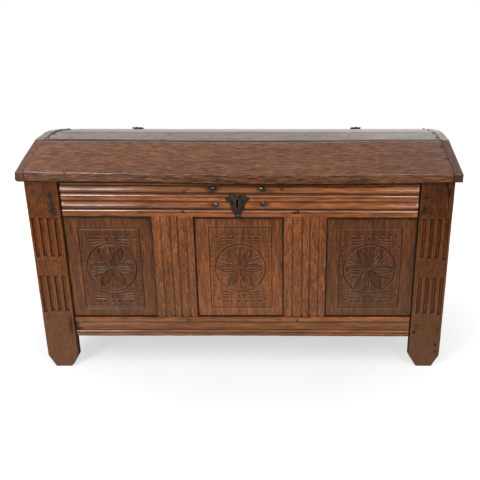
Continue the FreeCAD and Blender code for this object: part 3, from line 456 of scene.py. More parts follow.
class Carving:
    """Cuts of gouge and V-tool on a panel's flat face."""

    HAND_SLIP = 1.5
    LEAF_BEND = 0.84
    LEAF_DEPTH = 1.4
    LEAF_TIP = 8.0
    VEIN_DEPTH = 2.0
    VEIN_PLACE = 0.40
    VEIN_REACH = 0.22
    OUTLINE_DEPTH = 3.4
    OUTLINE_REACH = 2.3
    RUBBED = 0.28

    def __init__(self, across: Array, up: Array) -> None:
        """Start from bare wood.

        Args:
            across: Places of the columns, from the panel's middle.
            up: Places of the rows, from the panel's middle.
        """
        self.x, self.z = np.meshgrid(across, up)
        self.depth = np.zeros_like(self.x)
        self.rubbed = np.zeros_like(self.x)

    def cut(self, depth: Array) -> None:
        """Take the wood away down to a depth."""
        self.depth = np.maximum(self.depth, depth)

    def stroke(self, start: Point, end: Point, width: float, depth: float, tip: float = 4.0) -> None:
        """One cut of a gouge from start to end, shallower towards both tips.

        Args:
            start: Where the tool goes in.
            end: Where it comes out.
            width: Width of the cut.
            depth: Depth of the cut.
            tip: Length over which each end runs out.
        """
        run = math.dist(start, end)
        along = ((self.x - start[0]) * (end[0] - start[0]) + (self.z - start[1]) * (end[1] - start[1])) / run
        aside = ((self.x - start[0]) * (end[1] - start[1]) - (self.z - start[1]) * (end[0] - start[0])) / run
        share = unit(np.minimum(along, run - along) / tip)
        fade = np.sqrt(unit(1 - (1 - share) ** 2))
        half = np.maximum(width / 2 * fade, 1e-3)
        self.cut(depth * fade * (1 - unit(np.abs(aside) / half) ** 1.6))

    def ring(self, radius: float, width: float, depth: float) -> None:
        """A V-cut round the panel's middle."""
        away = np.abs(np.hypot(self.x, self.z) - radius) / (width / 2)
        self.cut(depth * unit(1 - away))

    def frame_line(self, middle: Point, half_width: float, half_height: float, width: float, depth: float,
                   ) -> None:
        """A V-cut rectangle.

        Args:
            middle: Its middle.
            half_width: Half its width.
            half_height: Half its height.
            width: Width of the cut.
            depth: Depth of the cut.
        """
        beside = np.abs(self.x - middle[0]) - half_width
        beyond = np.abs(self.z - middle[1]) - half_height
        away = np.abs(np.maximum(beside, beyond)) / (width / 2)
        self.cut(depth * unit(1 - away))

    def petal(self, turn: float, reach: float, rng: np.random.Generator) -> None:
        """One leaf of the six-leaved rosette: a deep outline round a sunk body with two veins.

        Args:
            turn: Direction of the leaf, in degrees from the panel's right.
            reach: Length of the leaf.
            rng: Source of the small slips of the hand.
        """
        angle = math.radians(turn + rng.uniform(-self.HAND_SLIP, self.HAND_SLIP))
        bend = reach * self.LEAF_BEND
        along = self.x * math.cos(angle) + self.z * math.sin(angle)
        aside = -self.x * math.sin(angle) + self.z * math.cos(angle)
        half = np.sqrt(np.clip(bend ** 2 - (along - reach / 2) ** 2, 0, None))
        half -= math.sqrt(bend ** 2 - reach ** 2 / 4)
        inside = (half > 0) & (along > 0) & (along < reach) & (np.abs(aside) < half)
        share = unit(np.abs(aside) / np.maximum(half, 1e-3))
        fade = unit(np.minimum(along, reach - along) / self.LEAF_TIP)
        vein = unit(1 - np.abs(share - self.VEIN_PLACE) / self.VEIN_REACH) ** 0.8
        body = self.LEAF_DEPTH + self.VEIN_DEPTH * vein
        self.cut(np.where(inside, body * fade, 0))
        line = self.OUTLINE_DEPTH * unit(1 - np.abs(np.abs(aside) - half) / self.OUTLINE_REACH)
        self.cut(np.where((along > 2) & (along < reach), line * fade ** 0.5, 0))
        self.rubbed = np.maximum(self.rubbed, np.where(inside & (share < 0.85), self.RUBBED * fade, 0))


@dataclass(frozen=True)
class RosettePanel:
    """The traditional six-leaved rosette with its gouge-cut border, about the ring's middle.

    A cut is given by its width and depth, and by the length of its tips where it has any.
    """

    seed: int
    left: float
    right: float
    ring_x: float
    ring_z: float
    radius: float
    border_x: float
    border_z: float
    half_width: float
    half_height: float
    tint: float
    low_tint: float
    fan_turns: tuple[float, ...] = (-13, -6.5, 6.5, 13)
    dashes: tuple[Point, ...] = ((-77, 108), (-58, 115), (-33, 115), (-9, 116), (14, 115), (38, 115),
                                 (61, 114), (81, 106))
    slants: tuple[tuple[float, ...], ...] = ((21, 66, 101.5, 101.5), (21, 67, 94, 90.6), (20, 62, 88, 80.5))
    leaves: int = 6
    border_cut: Cut = (5.0, 2.6)
    thin_border_cut: Cut = (2.4, 0.6)
    thin_border_inset: Point = (7.5, 3.6)
    ring_cut: Cut = (5.4, 3.0)
    thin_ring_cut: Cut = (2.4, 0.9)
    thin_ring_inset: float = 5.5
    boss: float = 8.0
    boss_cut: Cut = (3.4, 2.0)
    dart_cut: Cut = (5.6, 2.6, 12.0)
    spread_cut: Cut = (3.2, 1.2, 8.0)
    dash_length: float = 12.0
    dash_cut: Cut = (7.0, 2.8, 5.0)
    slant_cut: Cut = (6.0, 2.5, 10.0)
    upright_cut: Cut = (6.0, 2.4, 5.0)
    notch_count: int = 12
    notch_low: float = -92.0
    notch_step: float = 16.5
    notch_half: Point = (3.4, 5.0)
    notch_cut: Cut = (5.0, 2.2, 4.0)

    def carve(self, work: Carving) -> None:
        """Cut the whole pattern.

        Args:
            work: The panel's face.
        """
        rng = np.random.default_rng(self.seed)
        middle = (self.border_x, self.border_z)
        beside, beyond = self.thin_border_inset
        work.frame_line(middle, self.half_width, self.half_height, *self.border_cut)
        work.frame_line(middle, self.half_width - beside, self.half_height - beyond, *self.thin_border_cut)
        work.ring(self.radius, *self.ring_cut)
        work.ring(self.radius - self.thin_ring_inset, *self.thin_ring_cut)
        for leaf in range(self.leaves):
            turn = 360 / self.leaves * leaf
            work.petal(turn, self.radius - 3, rng)
            self.fan(work, turn + 180 / self.leaves, rng)
        work.ring(self.boss, *self.boss_cut)
        for side in (1, -1):
            self.head(work, side, rng)
            self.notches(work, side, rng)

    def fan(self, work: Carving, turn: float, rng: np.random.Generator) -> None:
        """A dart and short radial cuts at the rim between two leaves.

        Args:
            work: The panel's face.
            turn: Direction of the fan, in degrees from the panel's right.
            rng: Source of the small slips of the hand.
        """
        def spot(away: float, angle: float) -> Point:
            """A point at a distance from the ring's middle, in a direction."""
            return away * math.cos(angle), away * math.sin(angle)

        for offset in self.fan_turns:
            angle = math.radians(turn + offset + rng.uniform(-1.5, 1.5))
            inner = self.radius - rng.uniform(20, 26)
            width, depth = rng.uniform(4.0, 5.2), rng.uniform(1.6, 2.4)
            work.stroke(spot(inner, angle), spot(self.radius - 5, angle), width, depth, 6)
        middle = math.radians(turn)
        work.stroke(spot(34, middle), spot(self.radius - 9, middle), *self.dart_cut)
        for swing in (-9, 9):
            work.stroke(spot(26, middle), spot(50, math.radians(turn + swing)), *self.spread_cut)

    def head(self, work: Carving, side: int, rng: np.random.Generator) -> None:
        """Dashes, slanting lines and two upright cuts beyond the rosette.

        Args:
            work: The panel's face.
            side: 1 above the rosette, -1 below it.
            rng: Source of the small slips of the hand.
        """
        x, z = self.border_x, self.border_z
        for across, level in self.dashes:
            height = z + side * (level + rng.uniform(-0.8, 0.8))
            start = x + across - self.dash_length / 2 + rng.uniform(-1, 1)
            end = (start + self.dash_length, height - rng.uniform(0, 1.6))
            work.stroke((start, height), end, *self.dash_cut)
        for hand in (-1, 1):
            for near, far, inner, outer in self.slants:
                end = (x + hand * far, z + side * (outer + rng.uniform(-0.8, 0.8)))
                work.stroke((x + hand * near, z + side * inner), end, *self.slant_cut)
            work.stroke((x + hand * 8, z + side * 90), (x + hand * 7.5, z + side * 106), *self.upright_cut)

    def notches(self, work: Carving, side: int, rng: np.random.Generator) -> None:
        """A column of small slanting cuts beside the rosette.

        Args:
            work: The panel's face.
            side: 1 on the rosette's right, -1 on its left.
            rng: Source of the small slips of the hand.
        """
        half, high = self.notch_half
        for step in range(self.notch_count):
            level = self.border_z + self.notch_low + self.notch_step * step + rng.uniform(-1.5, 1.5)
            lean = half if step % 2 else -half
            across = self.border_x + side * (self.half_width - 9) + rng.uniform(-0.8, 0.8)
            work.stroke((across - lean, level - high), (across + lean, level + high), *self.notch_cut)


# Finishes


class Graph:
    """Short ways to place and join the nodes of one tree."""

    def __init__(self, tree: bpy.types.NodeTree) -> None:
        """Work on a tree."""
        self.tree = tree

    @classmethod
    def fresh(cls, owner: bpy.types.Material | bpy.types.World) -> "Graph":
        """Empty the node tree of a material or a world.

        Args:
            owner: The material or world.

        Returns:
            A graph on its tree.
        """
        owner.use_nodes = True
        owner.node_tree.nodes.clear()
        return cls(owner.node_tree)

    def add(self, kind: str, inputs: dict | None = None, **settings: object) -> bpy.types.Node:
        """Place a node.

        Args:
            kind: The node's type, after the words that all shader nodes share.
            inputs: Values or sockets for its inputs, by name or number.
            **settings: Its properties.

        Returns:
            The node.
        """
        node = self.tree.nodes.new("ShaderNode" + kind)
        for key, value in settings.items():
            setattr(node, key, value)
        for key, value in (inputs or {}).items():
            socket = node.inputs[key]
            if isinstance(value, Socket):
                self.tree.links.new(value, socket)
            else:
                plain = socket.type == "RGBA" and len(value) == 3
                socket.default_value = (*value, 1.0) if plain else value
        return node

    def give(self, sink: bpy.types.Node, **sockets: Socket) -> None:
        """Join sockets to a node's inputs.

        Args:
            sink: The node.
            **sockets: The socket for each input's name.
        """
        for key, socket in sockets.items():
            self.tree.links.new(socket, sink.inputs[key])

    def shade(self, inputs: dict) -> None:
        """Give the material a principled shader with these inputs."""
        self.add("OutputMaterial", {0: self.add("BsdfPrincipled", inputs).outputs[0]})

    def math(self, kind: str, first: object, second: object, clamp: bool = False) -> Socket:
        """Work out one sum and return its socket."""
        return self.add("Math", {0: first, 1: second}, operation=kind, use_clamp=clamp).outputs[0]

    def plus(self, first: object, second: object, clamp: bool = False) -> Socket:
        """Add two values."""
        return self.math("ADD", first, second, clamp)

    def minus(self, first: object, second: object, clamp: bool = False) -> Socket:
        """Take the second value from the first."""
        return self.math("SUBTRACT", first, second, clamp)

    def times(self, first: object, second: object, clamp: bool = False) -> Socket:
        """Multiply two values."""
        return self.math("MULTIPLY", first, second, clamp)

    def scaled(self, colour: object, level: object) -> Socket:
        """Multiply a colour by a value."""
        return self.add("VectorMath", {0: colour, 3: level}, operation="SCALE").outputs[0]

    def mix(self, share: object, first: object, second: object) -> Socket:
        """Mix two colours and return the socket."""
        return self.add("Mix", {0: share, 6: first, 7: second}, data_type="RGBA").outputs[2]

    def noise(self, vector: object, scale: float, detail: float = 3.0, rough: float = 0.55,
              twist: float = 0.0) -> Socket:
        """Smooth noise from about 0 to 1."""
        return self.add("TexNoise", {"Vector": vector, "Scale": scale, "Detail": detail, "Roughness": rough,
                                     "Distortion": twist}).outputs["Fac"]

    def ranged(self, value: object, low: float, high: float, start: float = 0.0, end: float = 1.0) -> Socket:
        """Stretch a range of values onto another, held at its ends."""
        return self.add("MapRange", {0: value, 1: low, 2: high, 3: start, 4: end}).outputs[0]

    def stretched(self, vector: object, scale: Place) -> Socket:
        """Scale a vector by axis."""
        return self.add("Mapping", {"Vector": vector, "Scale": scale}).outputs[0]

    def ramp(self, share: object, stops: Sequence[tuple[float, Colour]]) -> Socket:
        """A colour ramp.

        Args:
            share: The value that runs over it.
            stops: Position and colour of each stop, its two ends first.

        Returns:
            The colour's socket.
        """
        node = self.add("ValToRGB", {0: share})
        stops_on = node.color_ramp.elements
        for place, (position, colour) in enumerate(stops):
            stop = stops_on[place] if place < 2 else stops_on.new(position)
            stop.position = position
            stop.color = (*colour, 1.0)
        return node.outputs[0]


def new_group(name: str, inputs: Sequence[tuple[str, str, object]], outputs: Sequence[tuple[str, str]],
              ) -> tuple[Graph, dict[str, Socket], bpy.types.Node]:
    """Start a shader node group.

    Args:
        name: The group's name.
        inputs: Name, socket type and usual value of each input.
        outputs: Name and socket type of each output.

    Returns:
        A graph on the group, the sockets that bring its inputs, and its output node.
    """
    tree = bpy.data.node_groups.new(name, "ShaderNodeTree")
    for label, kind, usual in inputs:
        socket = tree.interface.new_socket(name=label, in_out="INPUT", socket_type=kind)
        if usual is not None:
            socket.default_value = usual
    for label, kind in outputs:
        tree.interface.new_socket(name=label, in_out="OUTPUT", socket_type=kind)
    source = tree.nodes.new("NodeGroupInput")
    return Graph(tree), {socket.name: socket for socket in source.outputs}, tree.nodes.new("NodeGroupOutput")


FLOAT = "NodeSocketFloat"
COLOR = "NodeSocketColor"
VECTOR = "NodeSocketVector"


class Effects:
    """The node groups that several finishes share, each built once."""

    def __init__(self) -> None:
        """Build the groups."""
        self.grain = self.build_grain()
        self.wear = self.build_wear()
        self.forge = self.build_forge()

    @staticmethod
    def build_grain() -> bpy.types.NodeTree:
        """Oak's streaks, growth figure, rays and pores, from a vector stretched along the grain.

        Returns:
            The group.
        """
        g, source, sink = new_group(
            "Oak grain",
            [("Vector", VECTOR, None), ("Figure", FLOAT, 0.3), ("Streaks", FLOAT, 0.5), ("Rays", FLOAT, 0.1)],
            [("Tone", FLOAT), ("Pores", FLOAT), ("Height", FLOAT)])
        vector = source["Vector"]
        broad = g.noise(vector, 14.0, 2.0, 0.5, 0.4)
        streak = g.noise(vector, 150.0, 5.0, 0.68, 0.25)
        fine = g.noise(vector, 420.0, 2.0, 0.6)
        rings = g.add("TexWave", {"Vector": vector, "Scale": 13.0, "Distortion": 9.0, "Detail": 3.0,
                                  "Detail Scale": 1.6, "Detail Roughness": 0.6},
                      wave_type="BANDS", bands_direction="DIAGONAL", wave_profile="SAW").outputs["Fac"]
        level = 0.5
        parts = ((broad, 0.4), (streak, source["Streaks"]), (fine, 0.7), (rings, source["Figure"]))
        for part, share in parts:
            level = g.plus(g.times(g.minus(part, 0.5), share), level)
        flecks = g.noise(g.stretched(vector, (2.2, 2.2, 2.2)), 34.0, 2.0, 0.5, 1.6)
        level = g.plus(level, g.times(g.ranged(flecks, 0.58, 0.70), source["Rays"]), True)
        pits = g.noise(vector, 620.0, 1.0, 0.5)
        pore = g.times(g.ranged(pits, 0.60, 0.74), g.ranged(streak, 0.36, 0.6, 1.0, 0.25))
        g.give(sink, Tone=level, Pores=pore, Height=g.minus(g.times(streak, 0.5), g.times(pore, 0.6)))
        return g.tree

    @staticmethod
    def build_wear() -> bpy.types.NodeTree:
        """Old dirt in the hollows, painted shade, rubbed edges, iron stains, dust and patchy wax over a wood
        colour.

        Returns:
            The group.
        """
        g, source, sink = new_group(
            "Wear and painted shade",
            [("Color", COLOR, (0.2, 0.1, 0.05, 1)), ("Vector", VECTOR, None), ("Dirt", FLOAT, 1.0),
             ("Rub", FLOAT, 0.4), ("Dirt Color", COLOR, (0.01, 0.008, 0.006, 1)),
             ("Rub Color", COLOR, (0.4, 0.18, 0.07, 1))],
            [("Color", COLOR), ("Dirt", FLOAT), ("Rub", FLOAT), ("Polish", FLOAT)])
        dirt_and_shade, polish, stain, tint = (g.add("Attribute", attribute_name=key).outputs["Fac"]
                                      for key in ("dirt_and_shade", "polish", "stain", "tint"))
        patches = g.noise(source["Vector"], 26.0, 4.0, 0.6)
        specks = g.noise(source["Vector"], 240.0, 3.0, 0.6)
        broken = g.ranged(specks, 0.3, 0.62, 0.65, 1.15)
        # The dirt mask holds painted shade as well as dirt and stains.
        dirt = g.times(g.times(dirt_and_shade, source["Dirt"]), broken)
        dirt = g.math("MAXIMUM", dirt, g.times(stain, g.ranged(specks, 0.3, 0.55, 0.5, 1.0)))
        dirt = g.math("MINIMUM", dirt, 0.96)
        rub = g.times(g.times(polish, source["Rub"]), g.ranged(patches, 0.35, 0.6, 0.5, 1.0))
        rub = g.math("MINIMUM", rub, 1.0)
        # The tint field lightens or darkens the colour, in places as painted light.
        toned = g.scaled(source["Color"], g.plus(tint, g.ranged(patches, 0.3, 0.75, 1.08, 0.86)))
        height = g.add("SeparateXYZ", {0: g.add("TexCoord").outputs["Object"]}).outputs[2]
        dusty = g.times(g.ranged(height, 0.0, 0.46), g.ranged(specks, 0.3, 0.7, 0.75, 1.2))
        dusty = g.times(g.minus(1.0, dusty, True), 0.38)
        rubbed = g.mix(rub, g.mix(dusty, toned, tone(120, 101, 80)), source["Rub Color"])
        g.give(sink, Color=g.mix(dirt, rubbed, source["Dirt Color"]), Dirt=dirt, Rub=rub,
               Polish=g.times(g.times(polish, broken), g.minus(1.0, dirt, True)))
        return g.tree

    @staticmethod
    def build_forge() -> bpy.types.NodeTree:
        """Hammered, rusted and hand-blackened iron skin.

        Returns:
            The group.
        """
        g, source, sink = new_group("Forged skin", [("Vector", VECTOR, None), ("Rust", FLOAT, 0.4)],
                                    [("Mottle", FLOAT), ("Rust", FLOAT), ("Height", FLOAT)])
        vector = source["Vector"]
        mottle = g.noise(vector, 160.0, 4.0, 0.65)
        dents = g.noise(vector, 70.0, 1.0, 0.4)
        rust = g.times(g.ranged(g.noise(vector, 90.0, 5.0, 0.7, 0.5), 0.48, 0.66), source["Rust"])
        g.give(sink, Mottle=mottle, Rust=rust, Height=g.plus(dents, g.times(mottle, 0.35)))
        return g.tree


def shifted_place(g: Graph) -> Socket:
    """Each piece's own place in the wood, so that no two boards share their grain.

    Args:
        g: The material's graph.

    Returns:
        The place's socket.
    """
    chance = g.add("ObjectInfo").outputs["Random"]
    shift = g.add("CombineXYZ", {axis: g.times(chance, far) for axis, far in enumerate((17.3, 41.9, 29.7))})
    place = {0: g.add("TexCoord").outputs["Object"], 1: shift.outputs[0]}
    return g.add("VectorMath", place, operation="ADD").outputs[0]


class Grain(Enum):
    """Axis that the wood's grain follows."""

    ALONG_X = 0
    ALONG_Y = 1
    ALONG_Z = 2

    def squeeze(self, share: float, size: float) -> Place:
        """Scale of each axis that draws the figure out along the grain."""
        return tuple(size * (share if axis == self.value else 1.0) for axis in range(3))


@dataclass(frozen=True)
class OakFinish:
    """Old waxed oak, with its colours, figure, dirt and painted shade, and gloss."""

    name: str
    grain: Grain
    dark: Colour
    middle: Colour
    light: Colour
    rub: Colour = tone(176, 104, 56)
    stretch: float = 0.07
    size: float = 1.0
    figure: float = 0.12
    streaks: float = 1.5
    rays: float = 0.05
    # Strength of the dirt and painted shade.
    dirt: float = 1.0
    rubbed: float = 0.5
    roughness: float = 0.42
    specular: float = 0.25
    coat: float = 0.0
    shine: float = 0.0
    bump: float = 0.25
    wax_ior: float = 1.8
    wax_rough: float = 0.12
    dull_grain: float = 0.7

    def make(self, effects: Effects) -> bpy.types.Material:
        """Build the material.

        Args:
            effects: The shared node groups.

        Returns:
            The material.
        """
        material = bpy.data.materials.new(self.name)
        g = Graph.fresh(material)
        place = shifted_place(g)
        along = g.stretched(place, self.grain.squeeze(self.stretch, self.size))
        grain = g.add("Group", {"Vector": along, "Figure": self.figure, "Streaks": self.streaks,
                                "Rays": self.rays}, node_tree=effects.grain).outputs
        colour = g.ramp(grain["Tone"], ((0.12, self.dark), (0.88, self.light), (0.5, self.middle)))
        pored = g.mix(g.times(grain["Pores"], 0.55), colour, (0.02, 0.012, 0.008))
        wear = g.add("Group", {"Color": pored, "Vector": place, "Dirt": self.dirt, "Rub": self.rubbed,
                               "Rub Color": self.rub}, node_tree=effects.wear).outputs
        rough = g.plus(g.times(grain["Pores"], 0.2), self.roughness)
        rough = g.plus(rough, g.times(wear["Dirt"], 0.06))
        bump = g.add("Bump", {"Strength": self.bump, "Distance": 0.0012, "Height": grain["Height"]})
        waxed = g.plus(g.times(wear["Polish"], self.shine), self.coat)
        streaky = g.times(waxed, g.ranged(grain["Tone"], 0.3, 0.7, self.dull_grain, 1.3))
        matt = g.minus(1.0, g.times(wear["Dirt"], 0.8), True)
        g.shade({
            "Base Color": wear["Color"], "Roughness": g.minus(rough, g.times(wear["Rub"], 0.12), True),
            "Normal": bump.outputs[0], "Specular IOR Level": self.specular,
            "Coat Weight": g.times(streaky, matt, True), "Coat Roughness": self.wax_rough,
            "Coat IOR": self.wax_ior})
        return material


@dataclass(frozen=True)
class IronFinish:
    """Old forged iron."""

    name: str
    dark: Colour
    light: Colour
    rust: float = 0.4
    roughness: float = 0.45
    metallic: float = 0.85

    def make(self, effects: Effects) -> bpy.types.Material:
        """Build the material.

        Args:
            effects: The shared node groups.

        Returns:
            The material.
        """
        material = bpy.data.materials.new(self.name)
        g = Graph.fresh(material)
        skin = g.add("Group", {"Vector": shifted_place(g), "Rust": self.rust},
                     node_tree=effects.forge).outputs
        colour = g.ramp(skin["Mottle"], ((0.3, self.dark), (0.75, self.light)))
        uneven = g.ranged(skin["Mottle"], 0.3, 0.7, self.roughness - 0.08, self.roughness + 0.14)
        bump = g.add("Bump", {"Strength": 0.6, "Distance": 0.0008, "Height": skin["Height"]})
        g.shade({
            "Base Color": g.mix(skin["Rust"], colour, tone(92, 52, 32)),
            "Roughness": g.plus(g.times(skin["Rust"], 0.35), uneven),
            "Metallic": g.minus(self.metallic, g.times(skin["Rust"], 0.6), True), "Normal": bump.outputs[0]})
        return material


class Palette:
    """Every finish of the chest."""

    def __init__(self) -> None:
        """Build the shared effects and the materials."""
        effects = Effects()

        def oak(name: str, grain: Grain, dark: Colour, middle: Colour, light: Colour, **more: float,
                ) -> bpy.types.Material:
            """Build an oak finish from its screen colours."""
            return OakFinish(name, grain, tone(*dark), tone(*middle), tone(*light), **more).make(effects)

        def iron(name: str, dark: Colour, light: Colour, **more: float) -> bpy.types.Material:
            """Build an iron finish from its screen colours."""
            return IronFinish(name, tone(*dark), tone(*light), **more).make(effects)

        self.stile = oak("oak_stile", Grain.ALONG_Z, (58, 28, 11), (95, 50, 21), (132, 74, 33),
                         stretch=0.2, size=1.5, streaks=1.3, rubbed=0.3, specular=0.12)
        self.muntin = oak("oak_muntin", Grain.ALONG_Z, (56, 27, 13), (112, 62, 32), (168, 101, 56),
                          rubbed=0.25, stretch=0.13, size=2.6, streaks=2.05, specular=0.2)
        self.rail = oak("oak_moulded_rail", Grain.ALONG_X, (66, 31, 12), (116, 63, 27), (162, 94, 41),
                        roughness=0.40, shine=1.4, coat=0.03, rubbed=0.15, specular=0.15, wax_ior=2.0)
        self.panel = oak("oak_panel", Grain.ALONG_Z, (54, 27, 11), (90, 48, 22), (124, 71, 34), stretch=0.12,
                         roughness=0.36, coat=0.11, shine=0.14, dirt=0.95, rubbed=0.2, specular=0.15)
        self.lid = oak("oak_lid_board", Grain.ALONG_X, (40, 20, 9), (88, 48, 21), (148, 88, 41), stretch=0.06,
                       size=3.6, figure=0.26, streaks=2.9, rays=0.25, roughness=0.36, coat=0.26, shine=1.3,
                       specular=0.22, rubbed=0.15, wax_rough=0.36, dull_grain=0.4)
        self.gable = oak("oak_lid_cleat", Grain.ALONG_Y, (50, 25, 12), (88, 48, 25), (128, 72, 36),
                         roughness=0.36, wax_rough=0.36, specular=0.22, coat=0.24, shine=0.5)
        self.upright, self.level_x, self.level_y = (
            oak(name, grain, (56, 32, 18), (90, 53, 30), (124, 76, 44), roughness=0.5, bump=0.35)
            for name, grain in (("oak_plain_upright", Grain.ALONG_Z), ("oak_plain_rail_x", Grain.ALONG_X),
                                ("oak_plain_rail_y", Grain.ALONG_Y)))
        self.floor = oak("oak_raw_floor", Grain.ALONG_X, (84, 60, 42), (124, 92, 66), (156, 122, 90),
                         roughness=0.68, bump=0.5)
        self.peg = oak("oak_peg", Grain.ALONG_Y, (30, 20, 14), (54, 34, 22), (84, 54, 34), roughness=0.5)
        self.iron = iron("iron_forged", (26, 25, 23), (74, 71, 64), rust=0.35, roughness=0.34)
        self.worn = iron("iron_worn", (40, 38, 35), (92, 88, 80), rust=0.5, roughness=0.42)
        self.rose = iron("iron_rose_head", (34, 33, 31), (118, 115, 108), rust=0.1, roughness=0.14,
                         metallic=1.0)
        self.bright = iron("iron_key_worn", (84, 62, 46), (164, 126, 92), rust=0.2, roughness=0.4,
                           metallic=0.5)
        self.sunk = iron("iron_sunk_nail", (44, 30, 23), (84, 58, 43), rust=0.9, roughness=0.55,
                         metallic=0.3)


# Carcase


def dress(made: bpy.types.Object, material: bpy.types.Material, body: str, slot: str, *nodes: str) -> None:
    """Give a new piece its finish and body, and hide the CAD nodes that it stands for.

    Args:
        made: The piece.
        material: Its finish.
        body: The CAD body that it moves with.
        slot: Not used.
        *nodes: The CAD nodes that it replaces.
    """
    made.data.materials.clear()
    made.data.materials.append(material)
    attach(made, body)
    if nodes:
        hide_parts(*nodes)
    log.info("made %s, %d points", made.name, len(made.data.vertices))


@dataclass
class FrontFrame:
    """The moulded, fluted and carved front of the carcase."""

    palette: Palette
    face: float = -306.25
    inner: float = -281.25
    outer_half: float = 665.0
    opening: Span = (-564.0, 562.0)
    height: float = 636.0
    opening_low: float = 183.2
    opening_high: float = 526.0
    drawn_half: float = 558.0
    muntins: tuple[Span, ...] = ((-280.5, -150.0), (136.0, 271.5))
    muntin_drawn: float = 134.0
    panels: tuple[RosettePanel, ...] = (
        RosettePanel(51, -564.0, -280.5, -422.0, 353.0, 80.5, 0.0, -4.0, 97.0, 136.0, 0.03, 0.14),
        RosettePanel(52, -150.0, 136.0, -4.5, 350.3, 81.0, 2.0, -0.4, 100.2, 136.7, 0.48, 1.0),
        RosettePanel(53, 271.5, 562.0, 415.0, 346.5, 84.5, 1.0, 2.6, 99.1, 136.0, -0.02, 0.12),
    )
    panel_recess: float = 9.0
    panel_back: float = -289.25
    hidden: float = 4.0
    split_depth: float = 3.5
    groove: float = 2.0
    groove_depth: float = 3.0
    foot_inner: float = 31.0
    foot_outer: float = 24.0
    foot_rise: float = 41.0
    flute_inset: float = 22.3
    flute_pitch: float = 23.8
    flute_width: float = 12.5
    flute_depth: float = 5.5
    flute_count: int = 4
    flute_stop: float = 9.0
    board_step: float = 4.0
    end_gap: float = 0.6
    end_wear: float = 6.0
    end_reach: float = 4.6
    muntin_gap: float = 0.3
    muntin_stop: float = 9.0
    muntin_sink: float = 2.2
    arris: float = 1.4
    nibble: float = 0.55
    plane_wave: float = 0.22
    tool_wave: float = 0.08
    # X, Y and Z ranges of the lock case's seat, the keyhole's bow and its slot
    lock_cuts: tuple[tuple[Span, Span, Span], ...] = (
        ((-51.0, 33.0), (-295.75, -270.0), (558.0, 640.0)),
        ((-17.4, -0.6), (-320.0, -290.0), (566.6, 584.2)),
        ((-15.9, -2.1), (-320.0, -290.0), (549.4, 575.0)),
    )
    flutes: dict[int, tuple[Span, ...]] = field(default_factory=lambda: {
        -1: ((389.0, 522.0), (199.0, 330.0)), 1: ((382.0, 519.0), (191.0, 323.0))})
    stile_marks: dict[int, tuple[Mark, ...]] = field(default_factory=lambda: {
        -1: ((-590, 593, 7, 9, 0.8), (-585, 563, 9, 20, 0.65), (-584, 541, 8, 13, 0.8),
             (-597, 543, 4, 5, 0.7), (-574, 172, 8, 12, 0.4), (-575, 146, 7, 22, 0.55),
             (-600, 600, 45, 14, 0.2)),
        1: ((579.5, 590, 8, 9, 1.0), (578, 547, 9, 12, 0.9), (648, 81, 5, 5, 0.9), (649, 54, 4, 5, 0.8),
            (581, 147, 9, 14, 0.45), (573, 127, 7, 5, 0.9), (652, 136, 6, 14, 0.35), (649, 601, 7, 13, 1.0),
            (640, 626, 5, 12, 0.7), (600, 600, 50, 40, 0.15)),
    })
    rail_marks: dict[str, tuple[Mark, ...]] = field(default_factory=lambda: {
        "front_top_rail": (
            (-9, 566, 13, 22, 1.0), (130, 613, 5, 4, 0.8), (-174, 606, 4, 3.5, 0.9), (-84, 616, 24, 10, 0.9),
            (-92, 604, 14, 5, 0.5), (66, 616, 17, 9, 0.8), (-80, 565, 18, 9, 0.75), (86, 609, 20, 6, 0.5),
            (76, 569, 18, 8, 0.8), (48, 570, 16, 14, 0.3), (-310, 541, 22, 3, 0.6), (-300, 553, 7, 6, 0.5),
            (-530, 600, 10, 4, 0.3), (172, 541, 9, 5, 0.8), (200, 541, 22, 3, 0.5), (280, 545, 30, 3, 0.5),
            (-60, 590, 10, 6, 0.4)),
        "front_bottom_rail": ((-556, 152, 9, 20, 0.8), (-546, 140, 14, 6, 0.6), (-180, 172, 9, 6, 0.5),
                              (118, 174, 6, 5, 0.5)),
    })
    muntin_marks: tuple[Mark, ...] = ((178, 541, 5, 5, 0.5), (-252, 288, 4, 5, 0.5))

    def finish_face(self, name: str, u: Array, v: Array, depth: Array, seed: int,
                    outline: Outline, spots: Iterable[Mark], shade: Array, tint: float | Array,
                    dirt: float, gloss: float | Array = 1.0, seam: Sequence[float] = (0, 0, 0, 0),
                    ) -> bpy.types.Object:
        """Turn a field of depths into a hand-planed board.

        Args:
            name: The piece's name.
            u: Places of the columns along X.
            v: Places of the rows along Z.
            depth: Depth of the worked face.
            seed: Seed of its small waves.
            outline: Moves the grid's points onto a shaped outline.
            spots: Stains.
            shade: Painted shade and dirt laid on beforehand.
            tint: How much lighter or darker than its finish the piece is coloured, in places as painted
                light.
            dirt: Strength of the dirt in the hollows.
            gloss: How much of the rubbed edges' polish is left.
            seam: Width of the darkening along the left, right, lower and upper edges: dirt and painted shade
                in the joints.

        Returns:
            The board.
        """
        x, z = np.meshgrid(u, v)
        edges = (x - u[0], u[-1] - x, z - v[0], v[-1] - z)
        nibble = self.arris * (1 + self.nibble * Wander(seed + 5, 23, 23)(x, z))
        worn = depth + edge_fall(np.minimum.reduce(edges), nibble)
        worn = worn + self.plane_wave * (1 + Wander(seed, 90, 120)(x, z))
        worn = worn + self.tool_wave * (1 + Wander(seed + 9, 11, 15)(x, z))
        low = hollowness(u, v, worn)
        dirt_and_shade = np.maximum(unit((low - 0.25) / 1.2) * dirt, shade)
        polish = unit((-low - 0.15) / 1.3) * gloss
        for distance, width in zip(edges, seam):
            if width:
                ragged = width * (1 + 0.35 * Wander(seed + 3, 30, 30)(x, z))
                dirt_and_shade = np.maximum(dirt_and_shade, unit(1.3 - distance / ragged))
                polish = polish * unit(distance / ragged - 0.8)
        stain = unit(1.25 * marks(x, z, spots))
        x, z = outline(x, z)
        front = np.stack([x, self.face + worn, z], -1)
        return slab(name, front, self.inner, {"dirt_and_shade": dirt_and_shade, "polish": polish, "stain": stain,
                                              "tint": np.zeros_like(x) + tint})

